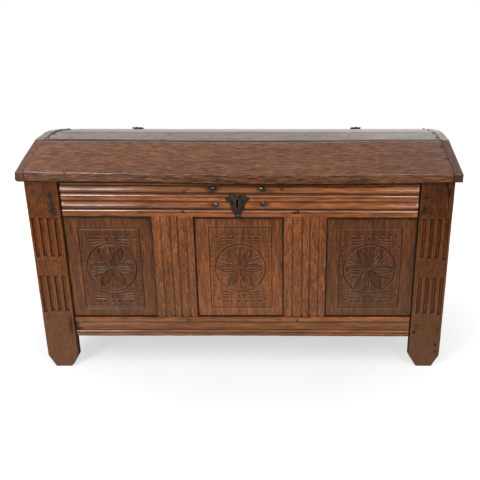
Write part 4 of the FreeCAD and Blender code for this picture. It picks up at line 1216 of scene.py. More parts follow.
    def build(self) -> None:
        """Make every member of the front."""
        for side, label in ((-1, "left"), (1, "right")):
            self.build_stile(side, label)
        for (left, right), label in zip(self.muntins, ("left", "right")):
            self.build_muntin(left, right, label)
        self.build_rail("front_top_rail", TOP_RAIL, self.height, 3)
        self.build_rail("front_bottom_rail", BOTTOM_RAIL, self.opening_low, 7)
        for pattern, label in zip(self.panels, ("left", "centre", "right")):
            self.build_panel(pattern, label)

    def flute_field(self, x: Array, z: Array, side: int) -> tuple[Array, Array]:
        """Depth, dirt and painted shade of a stile's flutes.

        Args:
            x: Place of each point along X.
            z: Place of each point along Z.
            side: -1 for the left stile, 1 for the right.

        Returns:
            The depth, with a round top and a sloped stop at the bottom, and the dirt and painted shade in it.
        """
        depth = np.zeros_like(x)
        shade = np.zeros_like(x)
        half = self.flute_width / 2
        for number in range(self.flute_count):
            centre = side * (self.drawn_half + self.flute_inset + number * self.flute_pitch)
            aside = np.abs(x - centre - 0.5 * np.sin(z / 37 + number)) / half
            hollow = np.sqrt(unit(1 - unit(aside) ** 2.2))
            for low, high in self.flutes[side]:
                low = low - (7.0 if side > 0 and number == 3 else 1.2 * number * (number % 2))
                top = unit((high - z) / (half * 1.2))
                ends = unit((z - low) / self.flute_stop) * np.sqrt(unit(1 - (1 - top) ** 2))
                inside = (aside < 1) & (z > low) & (z < high)
                depth = np.maximum(depth, np.where(inside, self.flute_depth * hollow * ends, 0))
                # Dirt and painted shade on the flutes' walls, at their stops and under their round tops.
                wall = 0.16 + 0.80 * unit((aside - 0.5) / 0.36)
                foot = unit(1 - (z - low - self.flute_stop) / 6) * unit((z - low) / 6)
                cap = unit(1 - (high - z) / 9)
                dirt = np.maximum(np.maximum(wall, 0.9 * foot), 0.75 * cap) * unit((z - low) / 5)
                shade = np.maximum(shade, np.where(inside, dirt, 0))
        return depth, shade

    def build_stile(self, side: int, label: str) -> None:
        """A front stile with its flutes and its chamfered foot.

        Args:
            side: -1 for the left stile, 1 for the right.
            label: The side's name.
        """
        inner, outer = abs(self.opening[0 if side < 0 else 1]), self.outer_half
        low, high = (inner, outer) if side > 0 else (-outer, -inner)
        u = grid_lines(low, high, 1.05)
        stops = [(foot - 9, foot + 14, 1.0) for foot, _ in self.flutes[side]]
        heads = [(head - 10, head + 2, 1.0) for _, head in self.flutes[side]]
        v = grid_lines(0, self.height, self.board_step, fine=stops + heads)
        x, z = np.meshgrid(u, v)
        depth, shade = self.flute_field(x, z, side)
        if side > 0:
            split = np.abs(x - np.interp(z, [535, 590, 634], [651.5, 648.5, 640.5]) - 0.6 * np.sin(z / 4))
            width = np.interp(z, [530, 560, 600, 634], [0.0, 1.0, 3.4, 2.6])
            cut = unit(1 - split / np.maximum(width, 0.01))
            depth = np.maximum(depth, self.split_depth * cut)
            shade = np.maximum(shade, cut ** 0.5)
        tint = np.interp(z, [0, 60, 200, 420, 520, 636], [0.08, 0.08, 0.12, 0.10, -0.06, -0.12])
        tint = tint - (0.16 if side > 0 else 0)

        def foot(x: Array, z: Array) -> tuple[Array, Array]:
            """Draw the columns in towards the narrow end of the foot.

            Args:
                x: Place of each point along X.
                z: Place of each point along Z.

            Returns:
                The moved places.
            """
            share = unit(1 - z / self.foot_rise)
            near = inner + (self.drawn_half - inner + self.foot_inner) * share
            far = outer - self.foot_outer * share
            across = (np.abs(x) - inner) / (outer - inner)
            return side * (near + (far - near) * across), z

        board = self.finish_face(f"oak_front_stile_{label}", u, v, depth, 11 + side, foot,
                                 self.stile_marks[side], shade, tint, 0.25)
        dress(board, self.palette.stile, "carcase", "oak_front", f"front_stile_{label}")

    @staticmethod
    def sag(x: Array) -> Array:
        """How far the old top rail has settled."""
        return np.interp(x, [-560, -300, 0, 560], [-1.2, 0.0, 2.6, 4.0])

    def build_rail(self, node: str, bands: Sequence[Band], top: float, seed: int) -> None:
        """A moulded rail between the stiles.

        Args:
            node: The CAD node that it stands for.
            bands: Its moulding from the top down.
            top: Height of its upper edge.
            seed: Seed of its small waves.
        """
        upper = node == "front_top_rail"
        places, cuts = moulding_lines(bands)
        v = (top - places)[::-1]
        ends = (self.opening[0] + self.end_gap, self.opening[1] - self.end_gap)
        u = grid_lines(*ends, 7.0, rim=(0.35, 0.9, 1.7, 2.8, 4.4, 6.0, 8.0))
        x, z = np.meshgrid(u, v)
        depth = cuts[::-1][:, None] + 0.9 * unit(Wander(seed, 60, 9)(x, z) - 0.25)
        depth = depth + self.end_wear * unit(1.3 - np.minimum(x - u[0], u[-1] - x) / self.end_reach)
        down = top - z
        if upper:
            # Painted shadow of the lid's nose along the rail's top.
            shadow = np.interp(x, [-560, -250, 0, 560], [629.4, 628.5, 624.6, 625.0])
            shade = unit((z - shadow) / 3)
            # The tint is painted light: the members are coloured lighter where light falls on them, most on
            # the flat under the first bead and towards the right.
            tint = np.select([down < 34.1, down < 49, down < 58.3, down < 97.2],
                             [np.interp(x, [-560, 0, 170, 330, 560], [0.0, 0.05, 0.2, 0.85, 1.0]),
                              np.interp(x, [-560, 0, 560], [0.0, 0.1, 0.3]),
                              np.interp(x, [-560, 0, 560], [0.7, 0.7, 0.6]),
                              np.interp(x, [-560, -200, 0, 560], [0.0, 0.0, 0.35, 0.4])],
                             np.interp(x, [-560, 0, 560], [0.12, 0.4, 0.35]))
            dirt, gloss, seam = 0.62, 1.0, (6.2, 6.2, 0.0, 0.0)
        else:
            shade = np.zeros_like(z)
            # The tint is painted light: the top flat and the bead are coloured lighter where light falls on
            # them, the bead most from the middle rightwards.
            bead = np.interp(x, [-560, -280, -120], [0.1, 0.15, 0.6])
            tint = np.select([down < 17, down < 50, down < 56], [0.45, 0.0, bead], 0.25)
            tint = tint + np.interp(x, [-560, 0, 250, 560], [0.12, 0.14, 0.20, 0.22])
            dirt, seam = 0.7, (6.2, 6.2, 1.0, 1.6)
            gloss = np.interp(x, [-560, -330, -150], [1.0, 0.9, 0.35])

        def settle(x: Array, z: Array) -> tuple[Array, Array]:
            """Let the rail down where it has settled.

            Args:
                x: Place of each point along X.
                z: Place of each point along Z.

            Returns:
                The moved places.
            """
            if upper:
                return x, z - self.sag(x) * unit((top - z) / 9)
            return x, z - np.interp(x, [0, 560], [0.0, 3.0]) * unit((top - z) / 60)

        board = self.finish_face("oak_" + node, u, v, depth, seed, settle, self.rail_marks[node], shade, tint,
                                 dirt, gloss, seam)
        if upper:
            self.cut_lock_seat(board)
        dress(board, self.palette.rail, "carcase", "oak_front", node)

    def cut_lock_seat(self, rail: bpy.types.Object) -> None:
        """Cut the keyhole and the seat of the lock's case out of the top rail.

        Args:
            rail: The top rail.
        """
        for number, (xs, ys, zs) in enumerate(self.lock_cuts):
            corners = np.array([(x, y, z) for z in zs for y in ys for x in xs])
            tool = make_object(f"cutter_{number}", corners, list(BOX_FACES), {})
            cut = rail.modifiers.new("cut", "BOOLEAN")
            cut.operation = "DIFFERENCE"
            cut.object = tool
            cut.solver = "EXACT"
            bpy.context.view_layer.objects.active = rail
            bpy.ops.object.modifier_apply(modifier="cut")
            bpy.data.objects.remove(tool)

    def build_muntin(self, left: float, right: float, label: str) -> None:
        """A moulded muntin between two panels.

        Args:
            left: Where its left edge lies.
            right: Where its right edge lies.
            label: The side's name.
        """
        places, cuts = moulding_lines(MUNTIN)
        u = left + places * (right - left) / self.muntin_drawn
        low, high = self.opening_low + self.muntin_gap, self.opening_high - self.muntin_gap
        v = grid_lines(low, high, 5.0, fine=[(186.5, 200, 1.5)])
        depth = np.repeat(cuts[None, :], len(v), axis=0)
        rise = np.meshgrid(u, v)[1] - self.opening_low
        stop = unit(1 - rise / self.muntin_stop)
        sunk = depth > 1.2
        depth = depth + np.where(sunk, self.muntin_sink * np.sqrt(stop), 0)
        shade = np.where(sunk, unit(stop * 1.6), 0.7 * unit(1 - rise / 2.5))

        def shorten(x: Array, z: Array) -> tuple[Array, Array]:
            """Keep the muntin's head under the settled rail."""
            return x, z - self.sag(x) * unit((z - 400) / 125)

        seed, tint = (31, 0.0) if left < 0 else (37, 0.07)
        board = self.finish_face(f"oak_front_muntin_{label}", u, v, depth, seed, shorten, self.muntin_marks,
                                 shade, tint, 0.34)
        dress(board, self.palette.muntin, "carcase", "oak_front", f"front_muntin_{label}")

    def build_panel(self, pattern: RosettePanel, label: str) -> None:
        """A carved panel in its grooves.

        Args:
            pattern: The panel's carving and place.
            label: Which panel it is.
        """
        middle_x, half_x = pattern.ring_x + pattern.border_x, pattern.half_width + 4
        middle_z, half_z = pattern.ring_z + pattern.border_z, pattern.half_height + 4
        u, v = (
            grid_lines(low - self.hidden, high + self.hidden, self.board_step, rim=(0.5,),
                       fine=[(middle - half, middle + half, 0.95), (low - 1, low + 5, 0.8),
                             (high - 5, high + 1, 0.8)])
            for low, high, middle, half in ((pattern.left, pattern.right, middle_x, half_x),
                                            (self.opening_low, self.opening_high, middle_z, half_z)))
        work = Carving(u - pattern.ring_x, v - pattern.ring_z)
        pattern.carve(work)
        x, z = np.meshgrid(u, v)
        left, right = x - pattern.left, pattern.right - x
        down, up = self.opening_high - self.sag(x) - z, z - self.opening_low
        inset = np.minimum.reduce([left, right, down, up])
        depth = work.depth + self.groove_depth * unit((self.groove + 0.6 - inset) / 1.2)
        seed = pattern.seed
        waves = 0.35 * Wander(seed, 60, 200)(x, z) + 0.12 * Wander(seed + 2, 14, 40)(x, z)
        ragged = 1 + 0.4 * Wander(seed + 4, 40, 40)(x, z)
        low = hollowness(u, v, depth, 3.0)
        # Painted shadow lines where the panel meets the frame, widest under the top rail, with dirt in the
        # groove.
        line = np.maximum.reduce([unit((5.6 * ragged ** 0.5 - np.minimum(left, right)) / 2.0),
                                  unit((9.4 * ragged ** 0.3 - down) / 2.4), unit((3.4 - up) / 1.6)])
        # Painted shade falling off from the frame: most under the top rail and on the right margin, less at
        # the left and the bottom.
        unshaded = (1 - 0.5 * fall(right, 11 * ragged)) * (1 - 0.15 * fall(left, 6))
        unshaded = unshaded * (1 - 0.5 * fall(down, 7)) * (1 - 0.25 * fall(up, 7))
        cut = np.maximum(unit((low - 0.15) / 1.6) * 0.9, unit(work.depth / 2.6) * 0.78)
        beside = unit((pattern.half_width - np.abs(x - middle_x)) / 8)
        beyond = unit((pattern.half_height - np.abs(z - middle_z)) / 8)
        ground = 0.17 * beside * beyond * ragged ** 0.5
        dirt_and_shade = np.maximum.reduce([cut * (1 - work.rubbed), line, 1 - unshaded, ground])
        polish = unit((-low - 0.15) / 0.9)
        # Lighter towards the bottom by low_tint.
        tint = pattern.tint + pattern.low_tint * np.interp(z, [185, 230, 430, 526], [1.0, 0.9, 0.0, -0.1])
        # Painted light on the panel's left margin.
        tint = tint + 0.10 * np.exp(-(np.clip(left - 30, 0, None) / 25) ** 2)
        front = np.stack([x, self.face + self.panel_recess + 0.3 + depth + waves * 0.5, z], -1)
        board = slab(f"oak_front_panel_{label}", front, self.panel_back,
                     {"dirt_and_shade": dirt_and_shade, "polish": polish, "stain": np.zeros_like(x), "tint": tint})
        dress(board, self.palette.panel, "carcase", "oak_carved_panel", f"front_panel_{label}")


@dataclass
class CadFinish:
    """Finishes for the CAD nodes that keep their own shape."""

    palette: Palette
    weld_reach: float = 0.02
    oak_arris: float = 1.4
    iron_arris: float = 0.4
    steps: int = 2
    bend: float = 38.0

    def material_for(self, node: str) -> bpy.types.Material:
        """Choose the finish of a node by its name.

        Args:
            node: The CAD node's name.

        Returns:
            Its material.
        """
        p = self.palette
        if node in ("escutcheon", "lock_case", "lock_bolt", "lock_spring", "key_pin", "lid_staple"):
            return p.iron
        if node.startswith("lid_") and "nails" in node:
            return p.sunk
        if "nails" in node or "strap" in node or "hinge" in node:
            return p.worn
        if node == "frame_pegs":
            return p.peg
        if node.startswith("bottom_board"):
            return p.floor
        if node.startswith(("bottom_bearer", "bottom_ledge")):
            return p.level_y
        if node.endswith("rail"):
            return p.level_x if node.startswith("back") else p.level_y
        return p.upright

    def apply(self) -> None:
        """Soften the arrises of every CAD node and give it its finish."""
        for name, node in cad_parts.items():
            material = self.material_for(name)
            node.data.materials.clear()
            node.data.materials.append(material)
            if "custom_normal" in node.data.attributes:
                node.data.attributes.remove(node.data.attributes["custom_normal"])
            node.data.shade_smooth()
            small = not material.name.startswith("oak_") or name == "frame_pegs"
            weld = node.modifiers.new("joined", "WELD")
            weld.merge_threshold = self.weld_reach * MM
            bevel = node.modifiers.new("softened", "BEVEL")
            bevel.width = (self.iron_arris if small else self.oak_arris) * MM
            bevel.segments = self.steps
            bevel.limit_method = "ANGLE"
            bevel.angle_limit = math.radians(self.bend)
            normal = node.modifiers.new("shaded", "WEIGHTED_NORMAL")
            normal.keep_sharp = True
            log.info("finished %s", name)


# Lid


def rounded_loop(corners: Sequence[Point], radii: Sequence[float], step: float) -> Array:
    """A closed line with rounded corners and even points between them.

    Args:
        corners: The corners in order.
        radii: How far from each corner its rounding starts.
        step: Greatest spacing on the straight runs.

    Returns:
        The points of the loop.
    """
    points: list[Array] = []
    count = len(corners)
    places = [np.array(c, float) for c in corners]
    for i in range(count):
        before, here, after = places[i - 1], places[i], places[(i + 1) % count]
        back = (before - here) / np.linalg.norm(before - here)
        ahead = (after - here) / np.linalg.norm(after - here)
        start, end = here + back * radii[i], here + ahead * radii[i]
        steps = 5 if radii[i] > 0.8 else 2
        for share in np.linspace(0, 1, steps + 1):
            points.append((1 - share) ** 2 * start + 2 * share * (1 - share) * here + share ** 2 * end)
        goal = after + (here - after) / np.linalg.norm(here - after) * radii[(i + 1) % count]
        run = np.linalg.norm(goal - end)
        for share in np.linspace(0, 1, max(1, int(run / step)) + 1)[1:-1]:
            points.append(end + (goal - end) * share)
    return np.array(points)


@dataclass
class Lid:
    """The coopered lid: five boards between two end cleats."""

    palette: Palette
    front: float = -326.25
    seat: float = 636.3
    depth: float = 636.0
    half: float = 651.6
    section: tuple[Point, ...] = ((0, 0), (0, 29.5), (159.5, 114.5), (235, 134.9), (263, 138.4), (318, 139.4),
                                  (373, 138.4), (401, 134.9), (476.5, 114.5), (636, 29.5), (636, 0))
    under: tuple[Point, ...] = ((47, 0), (47, 27.35), (168.39, 92.04), (255.19, 115.5), (380.81, 115.5),
                                (467.61, 92.04), (589, 27.35), (589, 0))
    lip_x: tuple[float, ...] = (-681, -640, -600, -500, -400, -300, -200, 0, 250, 450, 600, 681)
    lip_arris: tuple[float, ...] = (3.0, 5.0, 3.0, 1.6, -0.5, -2.0, -4.2, -5.6, -5.6, -4.4, -3.2, -3.6)
    lip_bottom: tuple[float, ...] = (3.0, 4.5, 4.0, 2.2, 1.6, 0.3, -1.6, -5.2, -5.0, -4.0, -1.0, 0.4)
    crease_sag: float = 5.0
    sag_centre: float = 20.0
    sag_half: float = 430.0
    left_drop: float = 3.0
    crown_gap: float = 3.4
    board_arris: Span = (0.3, 1.6)
    board_stations: int = 170
    long_wave: float = 0.30
    short_wave: float = 0.10
    back_crease: float = 120.0
    cleat_span: Span = (652.4, 681.0)
    ledge_span: Span = (640.0, 653.0)
    cleat_arris: Span = (1.0, 3.6)
    ledge_arris: Span = (0.3, 0.3)
    cleat_radii: tuple[float, ...] = (3.0, 3.2, 1.6, 1.0, 6.0, 20.0, 6.0, 1.0, 1.4, 2.6, 1.6)
    cove_x: float = 660.0
    cove_half: float = 5.5
    cove_rise: float = 4.4
    cove_depth: float = 19.0
    board_marks: dict[str, tuple[Mark, ...]] = field(default_factory=lambda: {
        "front": ((-105, 22, 9, 7, 0.75), (-66, 31, 8, 6, 0.8), (41, 27, 9, 6, 0.75), (-590, 82, 26, 5, 0.4),
                  (-598, 96, 9, 5, 0.5), (-64, 0, 9, 9, 0.4), (354, 0, 8, 4, 0.4), (380, 0, 10, 4, 0.4),
                  (-560, 120, 40, 9, 0.25), (570, 66, 30, 9, 0.25)),
        "upper_front": ((-249, 220, 10, 9, 1.3), (-264, 169, 9, 8, 1.2), (-566, 235, 10, 9, 1.2),
                        (-570, 182, 9, 8, 1.1), (640, 240, 9, 14, 0.7), (-560, 215, 60, 10, 0.25)),
        "crown": ((-540, 262, 30, 4, 0.5), (-636, 285, 16, 30, 0.8)),
    })

    def warp(self, x: Array, y: Array, z: Array) -> Array:
        """How far the old lid has moved up or down from its drawn section.

        Args:
            x: Place along the lid.
            y: Distance behind the lid's front.
            z: Height above the seat.

        Returns:
            The rise at each point.
        """
        lip, first, second = self.section[1][1], self.section[2][0], self.section[3][0]
        arris = np.interp(x, self.lip_x, self.lip_arris)
        bottom = np.interp(x, self.lip_x, self.lip_bottom)
        crease = -self.crease_sag * unit(1 - ((x - self.sag_centre) / self.sag_half) ** 2)
        crease = crease + np.interp(x, [-681, -560], [2.0, 0.0])
        nose = bottom + (arris - bottom) * unit(z / lip)
        slope = arris + (crease - arris) * unit(y / first)
        upper = crease * unit(1 - (y - first) / (second - first))
        rear = crease * unit(1 - np.abs(self.depth - y - first) / self.back_crease)
        rise = np.select([y > self.depth / 2, y < 1.0, y < first], [rear, nose, slope], upper)
        outside = z - np.interp(y, *zip(*self.under[1:-1]), left=-1, right=-1)
        overhang = np.where((z < 1.5) & (y < 18), bottom * (1 - y / 18), 0)
        return np.where((y < 1.0) | (outside > 2), rise, overhang)

    def build(self) -> None:
        """Make the boards and the cleats."""
        s, u = self.section, self.under
        boards = (
            ("front", (s[0], s[1], s[2], u[2], u[1], u[0]), (4.5, 2.4, 1.6, 0.4, 0.4, 0.6)),
            ("upper_front", (s[2], s[3], u[3], u[2]), (1.8, 0.9, 0.3, 0.3)),
            ("crown", (*s[3:8], u[4], u[3]), (1.0, 6.0, 20.0, 6.0, 1.0, 0.3, 0.3)),
            ("upper_back", (s[7], s[8], u[5], u[4]), (0.9, 1.4, 0.3, 0.3)),
            ("back", (s[8], s[9], s[10], u[7], u[6], u[5]), (1.4, 2.6, 1.6, 0.6, 0.4, 0.4)),
        )
        for number, (label, corners, radii) in enumerate(boards):
            self.build_board(label, rounded_loop(corners, radii, 5.0), corners, number)
        for side, label in ((-1, "left"), (1, "right")):
            self.build_cleat(side, label)

    def build_board(self, label: str, loop: Array, corners: Sequence[Point], number: int) -> None:
        """One stave of the lid, swept from end to end.

        Args:
            label: Which stave it is.
            loop: The line round its section.
            corners: The section's corners, from the outer face on.
            number: Its place from the front, for its seeds.
        """
        ends = np.array([0.0, 0.4, 1.2, 2.4])
        left_end = -self.half - 0.5 + (self.crown_gap if label == "crown" else 0.0)
        inner = np.linspace(-self.half + 6, self.half - 6, self.board_stations)[1:-1]
        stations = np.concatenate([left_end + ends, inner, self.half - ends[::-1]])
        middle = loop.mean(0)
        x, index = np.meshgrid(stations, np.arange(len(loop)), indexing="ij")
        y, z = loop[index, 0], loop[index, 1]

        def near(corner: Point) -> Array:
            """Distance of the section's points from one corner."""
            return np.hypot(loop[:, 0] - corner[0], loop[:, 1] - corner[1])[None, :]

        tip = np.minimum(x - stations[0], stations[-1] - x)
        pull = edge_fall(tip, np.where(x < 0, *self.board_arris)) / np.hypot(y - middle[0], z - middle[1])
        y = y + (middle[0] - y) * pull
        z = z + (middle[1] - z) * pull
        waves = self.long_wave * Wander(80 + number, 170, 45)(x, y)
        waves = waves + self.short_wave * Wander(90 + number, 24, 13)(x, y)
        drop = self.left_drop * unit((-600 - x) / 46) ** 2 * unit((y - 150) / 80)
        groove = np.interp(x, [-650, -450, -350, 650], [2.8, 2.6, 1.5, 1.3])
        groove = groove * unit(1.2 - near(self.section[2]) / 2.8)
        z = z + self.warp(x, y, z) + waves - self.long_wave - drop - groove
        if label == "front":
            # Dirt in the joint with the next board, and painted shade along the underside of the nose.
            seam = np.maximum(unit(1.25 - near(corners[2]) / 2.6), unit(1.25 - near(corners[0]) / 2.4))
            worn = np.interp(x, [-650, -300, -150, 60, 300, 650], [0.65, 0.65, 0.4, 0.3, 0.35, 0.45])
            polish = unit(1.2 - near(self.section[1]) / 1.7) * worn * (1 + 0.5 * Wander(66, 16, 9)(x, y))
        else:
            ragged = 4.16 * (1 + 0.5 * Wander(70 + number, 38, 10)(x, y))
            open_end = np.interp(x, [-650, -470, -410], [2.0, 1.8, 1.0])
            seam = np.maximum(unit(1.25 - near(corners[0]) / (ragged * open_end)),
                              unit(1.25 - near(corners[1]) / ragged))
            polish = np.zeros_like(x)
        joint = unit(1.2 - tip / (2.2 * (1 + 0.4 * Wander(60 + number, 30, 30)(x, y))))
        left_joint = np.interp(y, [0, 1, 20, 150, 225, 240, 300, 400],
                               [0.9, 0.8, 0.1, 0.1, 0.3, 1.0, 1.0, 0.5])
        right_joint = np.interp(y, [0, 1, 20, 60, 90, 160, 400], [0.7, 0.6, 0.4, 0.5, 0.9, 1.0, 1.0])
        fields = {"dirt_and_shade": np.maximum(seam, joint * np.where(x < 0, left_joint, right_joint)),
                  "polish": polish, "stain": marks(x, y, self.board_marks.get(label, ())),
                  "tint": self.board_tint(x, y)}
        points = np.stack([x, self.front + y, self.seat + z], -1)
        made = sweep(f"oak_lid_board_{label}", [(points, fields)])
        dress(made, self.palette.lid, "lid", "oak_lid", f"lid_board_{label}")

    @staticmethod
    def board_tint(x: Array, y: Array) -> Array:
        """How much lighter or darker the boards' wood is from place to place.

        Args:
            x: Place along the lid.
            y: Distance behind the lid's front.

        Returns:
            The tint at each point.
        """
        slope = np.interp(x, [-650, -400, 0, 400, 650], [0.0, 0.0, -0.05, -0.12, -0.2]) - 0.40 * (y > 160.5)
        nose = np.interp(x, [-650, -400, 0, 500], [-0.12, -0.12, -0.2, -0.1])
        return np.where(y < 1.5, nose, slope)

    def build_cleat(self, side: int, label: str) -> None:
        """An end cleat: the outer board with its worn rim, and the ledge under the staves.

        Args:
            side: -1 for the left end, 1 for the right.
            label: The side's name.
        """
        made = sweep(f"oak_lid_cleat_{label}",
                     [self.cleat_part(side, self.section, self.cleat_span, self.cleat_arris, True),
                      self.cleat_part(side, self.under, self.ledge_span, self.ledge_arris, False)])
        dress(made, self.palette.gable, "lid", "oak_lid", f"lid_gable_{label}")

    def cleat_part(self, side: int, outline: Sequence[Point], span: Span, arris: Span,
                   shaped: bool) -> tuple[Array, dict[str, Array]]:
        """One layer of a cleat.

        Args:
            side: -1 for the left end, 1 for the right.
            outline: The layer's section.
            span: Its inner and outer distance from the middle.
            arris: Rounding towards the boards and of the outer rim.
            shaped: Whether its underside has the cove and lip.

        Returns:
            The points, ring by ring, and the named values over them.
        """
        low, high = span
        radii, stations = [arris[0]] * len(outline), np.array([low, high])
        if shaped:
            radii = self.cleat_radii
            stations = np.concatenate([np.array([0, 0.5, 1.5, 3, 6, 9, 12]) + low,
                                       high - np.array([15, 10, 6, 3.5, 1.8, 0.7, 0])])
        loop = rounded_loop(outline, radii, 9.0)
        tangent = np.roll(loop, -1, axis=0) - np.roll(loop, 1, axis=0)
        normal = np.stack([-tangent[:, 1], tangent[:, 0]], -1)
        normal /= np.linalg.norm(normal, axis=1)[:, None]
        third = len(loop) // 3
        if np.dot(normal[third], loop[third] - loop.mean(0)) < 0:
            normal = -normal
        x, index = np.meshgrid(stations, np.arange(len(loop)), indexing="ij")
        y, z = loop[index, 0], loop[index, 1]
        on_floor = z < 0.4
        lip = np.hypot(y - self.section[1][0], z - self.section[1][1])
        worn_corner = 1 + (1.6 if side < 0 else 0.0) * np.exp(-(y / 40) ** 2)
        inward = edge_fall(x - low, arris[0] if side > 0 else self.board_arris[0])
        inward = inward + edge_fall(high - x, arris[1] * worn_corner)
        ragged = 0.35 * Wander(120 + side, 12, 30)(x, y)
        y = y - normal[index, 0] * (inward + 0.2 * (ragged + 0.35))
        z = z - normal[index, 1] * inward
        settled = self.warp(side * x, y, z + 0.01) if shaped else 0.0
        z = z + settled + 0.25 * (ragged - 0.4)
        rim, nose, polish = np.zeros((3, *x.shape))
        if shaped:
            cove = self.cove_rise * np.sqrt(unit(1 - ((x - self.cove_x) / self.cove_half) ** 2))
            z = np.where(on_floor, np.maximum(z, np.where(y < self.cove_depth, cove, 0.0)), z)
            rim = unit(1.25 - (x - low) / 1.6)
            nose = 0.30 * np.exp(-(y / 10) ** 2)
            polish = np.maximum(0.8 * unit(1.1 - (high - x) / 4.0), 0.9 * unit(1.2 - lip / 2.6))
        rim = rim * (np.interp(y, [0, 20, 60, 90, 160], [0.7, 0.4, 0.5, 0.9, 1.0]) if side > 0
                     else np.interp(y, [0, 1, 20, 150, 225, 240], [0.9, 0.8, 0.1, 0.1, 0.3, 0.9]))
        dirt_and_shade = np.maximum(rim, nose * unit(1 + 0.4 * Wander(130, 8, 8)(x, z)))
        tint = np.where(y > 160.5, -0.42, -0.25 if side > 0 else 0.0)
        points = np.stack([side * x, self.front + y, self.seat + z], -1)
        return points, {"dirt_and_shade": dirt_and_shade, "polish": polish, "stain": np.zeros_like(x), "tint": tint}


# Ironwork on the front


@dataclass(frozen=True)
class NailHeads:
    """A set of nail heads, each forged with a few hammer blows."""

    name: str
    places: tuple[Point, ...]
    radius: float
    rise: float
    seed: int
    lift: float
    node: str | None = None
    dull: bool = False
    sides: int = 10
    facet: float = 0.10
    blow: float = 0.05
    sharp: float = 18.0
    rings: tuple[Point, ...] = ((1.0, -0.6), (1.0, 0.18), (0.66, 0.68), (0.22, 1.0))

    def build(self, face: float, palette: Palette) -> None:
        """Make the heads.

        Args:
            face: Where the front's face lies along Y.
            palette: Every finish of the chest.
        """
        rng = np.random.default_rng(self.seed)
        points: list[Place] = []
        faces: list[list[int]] = []
        sides, plane = self.sides, face - self.lift
        for x, z in self.places:
            base = len(points)
            start = rng.uniform(0, 1)
            for share, height in self.rings:
                for side in range(sides):
                    turn = 2 * math.pi * (side + start) / sides
                    facet = 1 + self.facet * math.cos(5 * turn) + rng.uniform(-self.blow, self.blow)
                    away = self.radius * share * facet * 0.95
                    up = self.rise * height * (1 + rng.uniform(-0.07, 0.0) * (height > 0))
                    points.append((x + away * math.cos(turn), plane - up, z + away * math.sin(turn)))
            for low in range(base, base + (len(self.rings) - 1) * sides, sides):
                for side in range(sides):
                    first, second = low + side, low + (side + 1) % sides
                    faces.append([first, second, second + sides, first + sides])
            faces.append(list(range(len(points) - sides, len(points))))
            faces.append(list(range(base, base + sides))[::-1])
        made = make_object(self.name, np.array(points), faces, {}, math.radians(self.sharp))
        dress(made, palette.iron if self.dull else palette.rose, "carcase", "wrought_iron",
              *([self.node] if self.node else []))


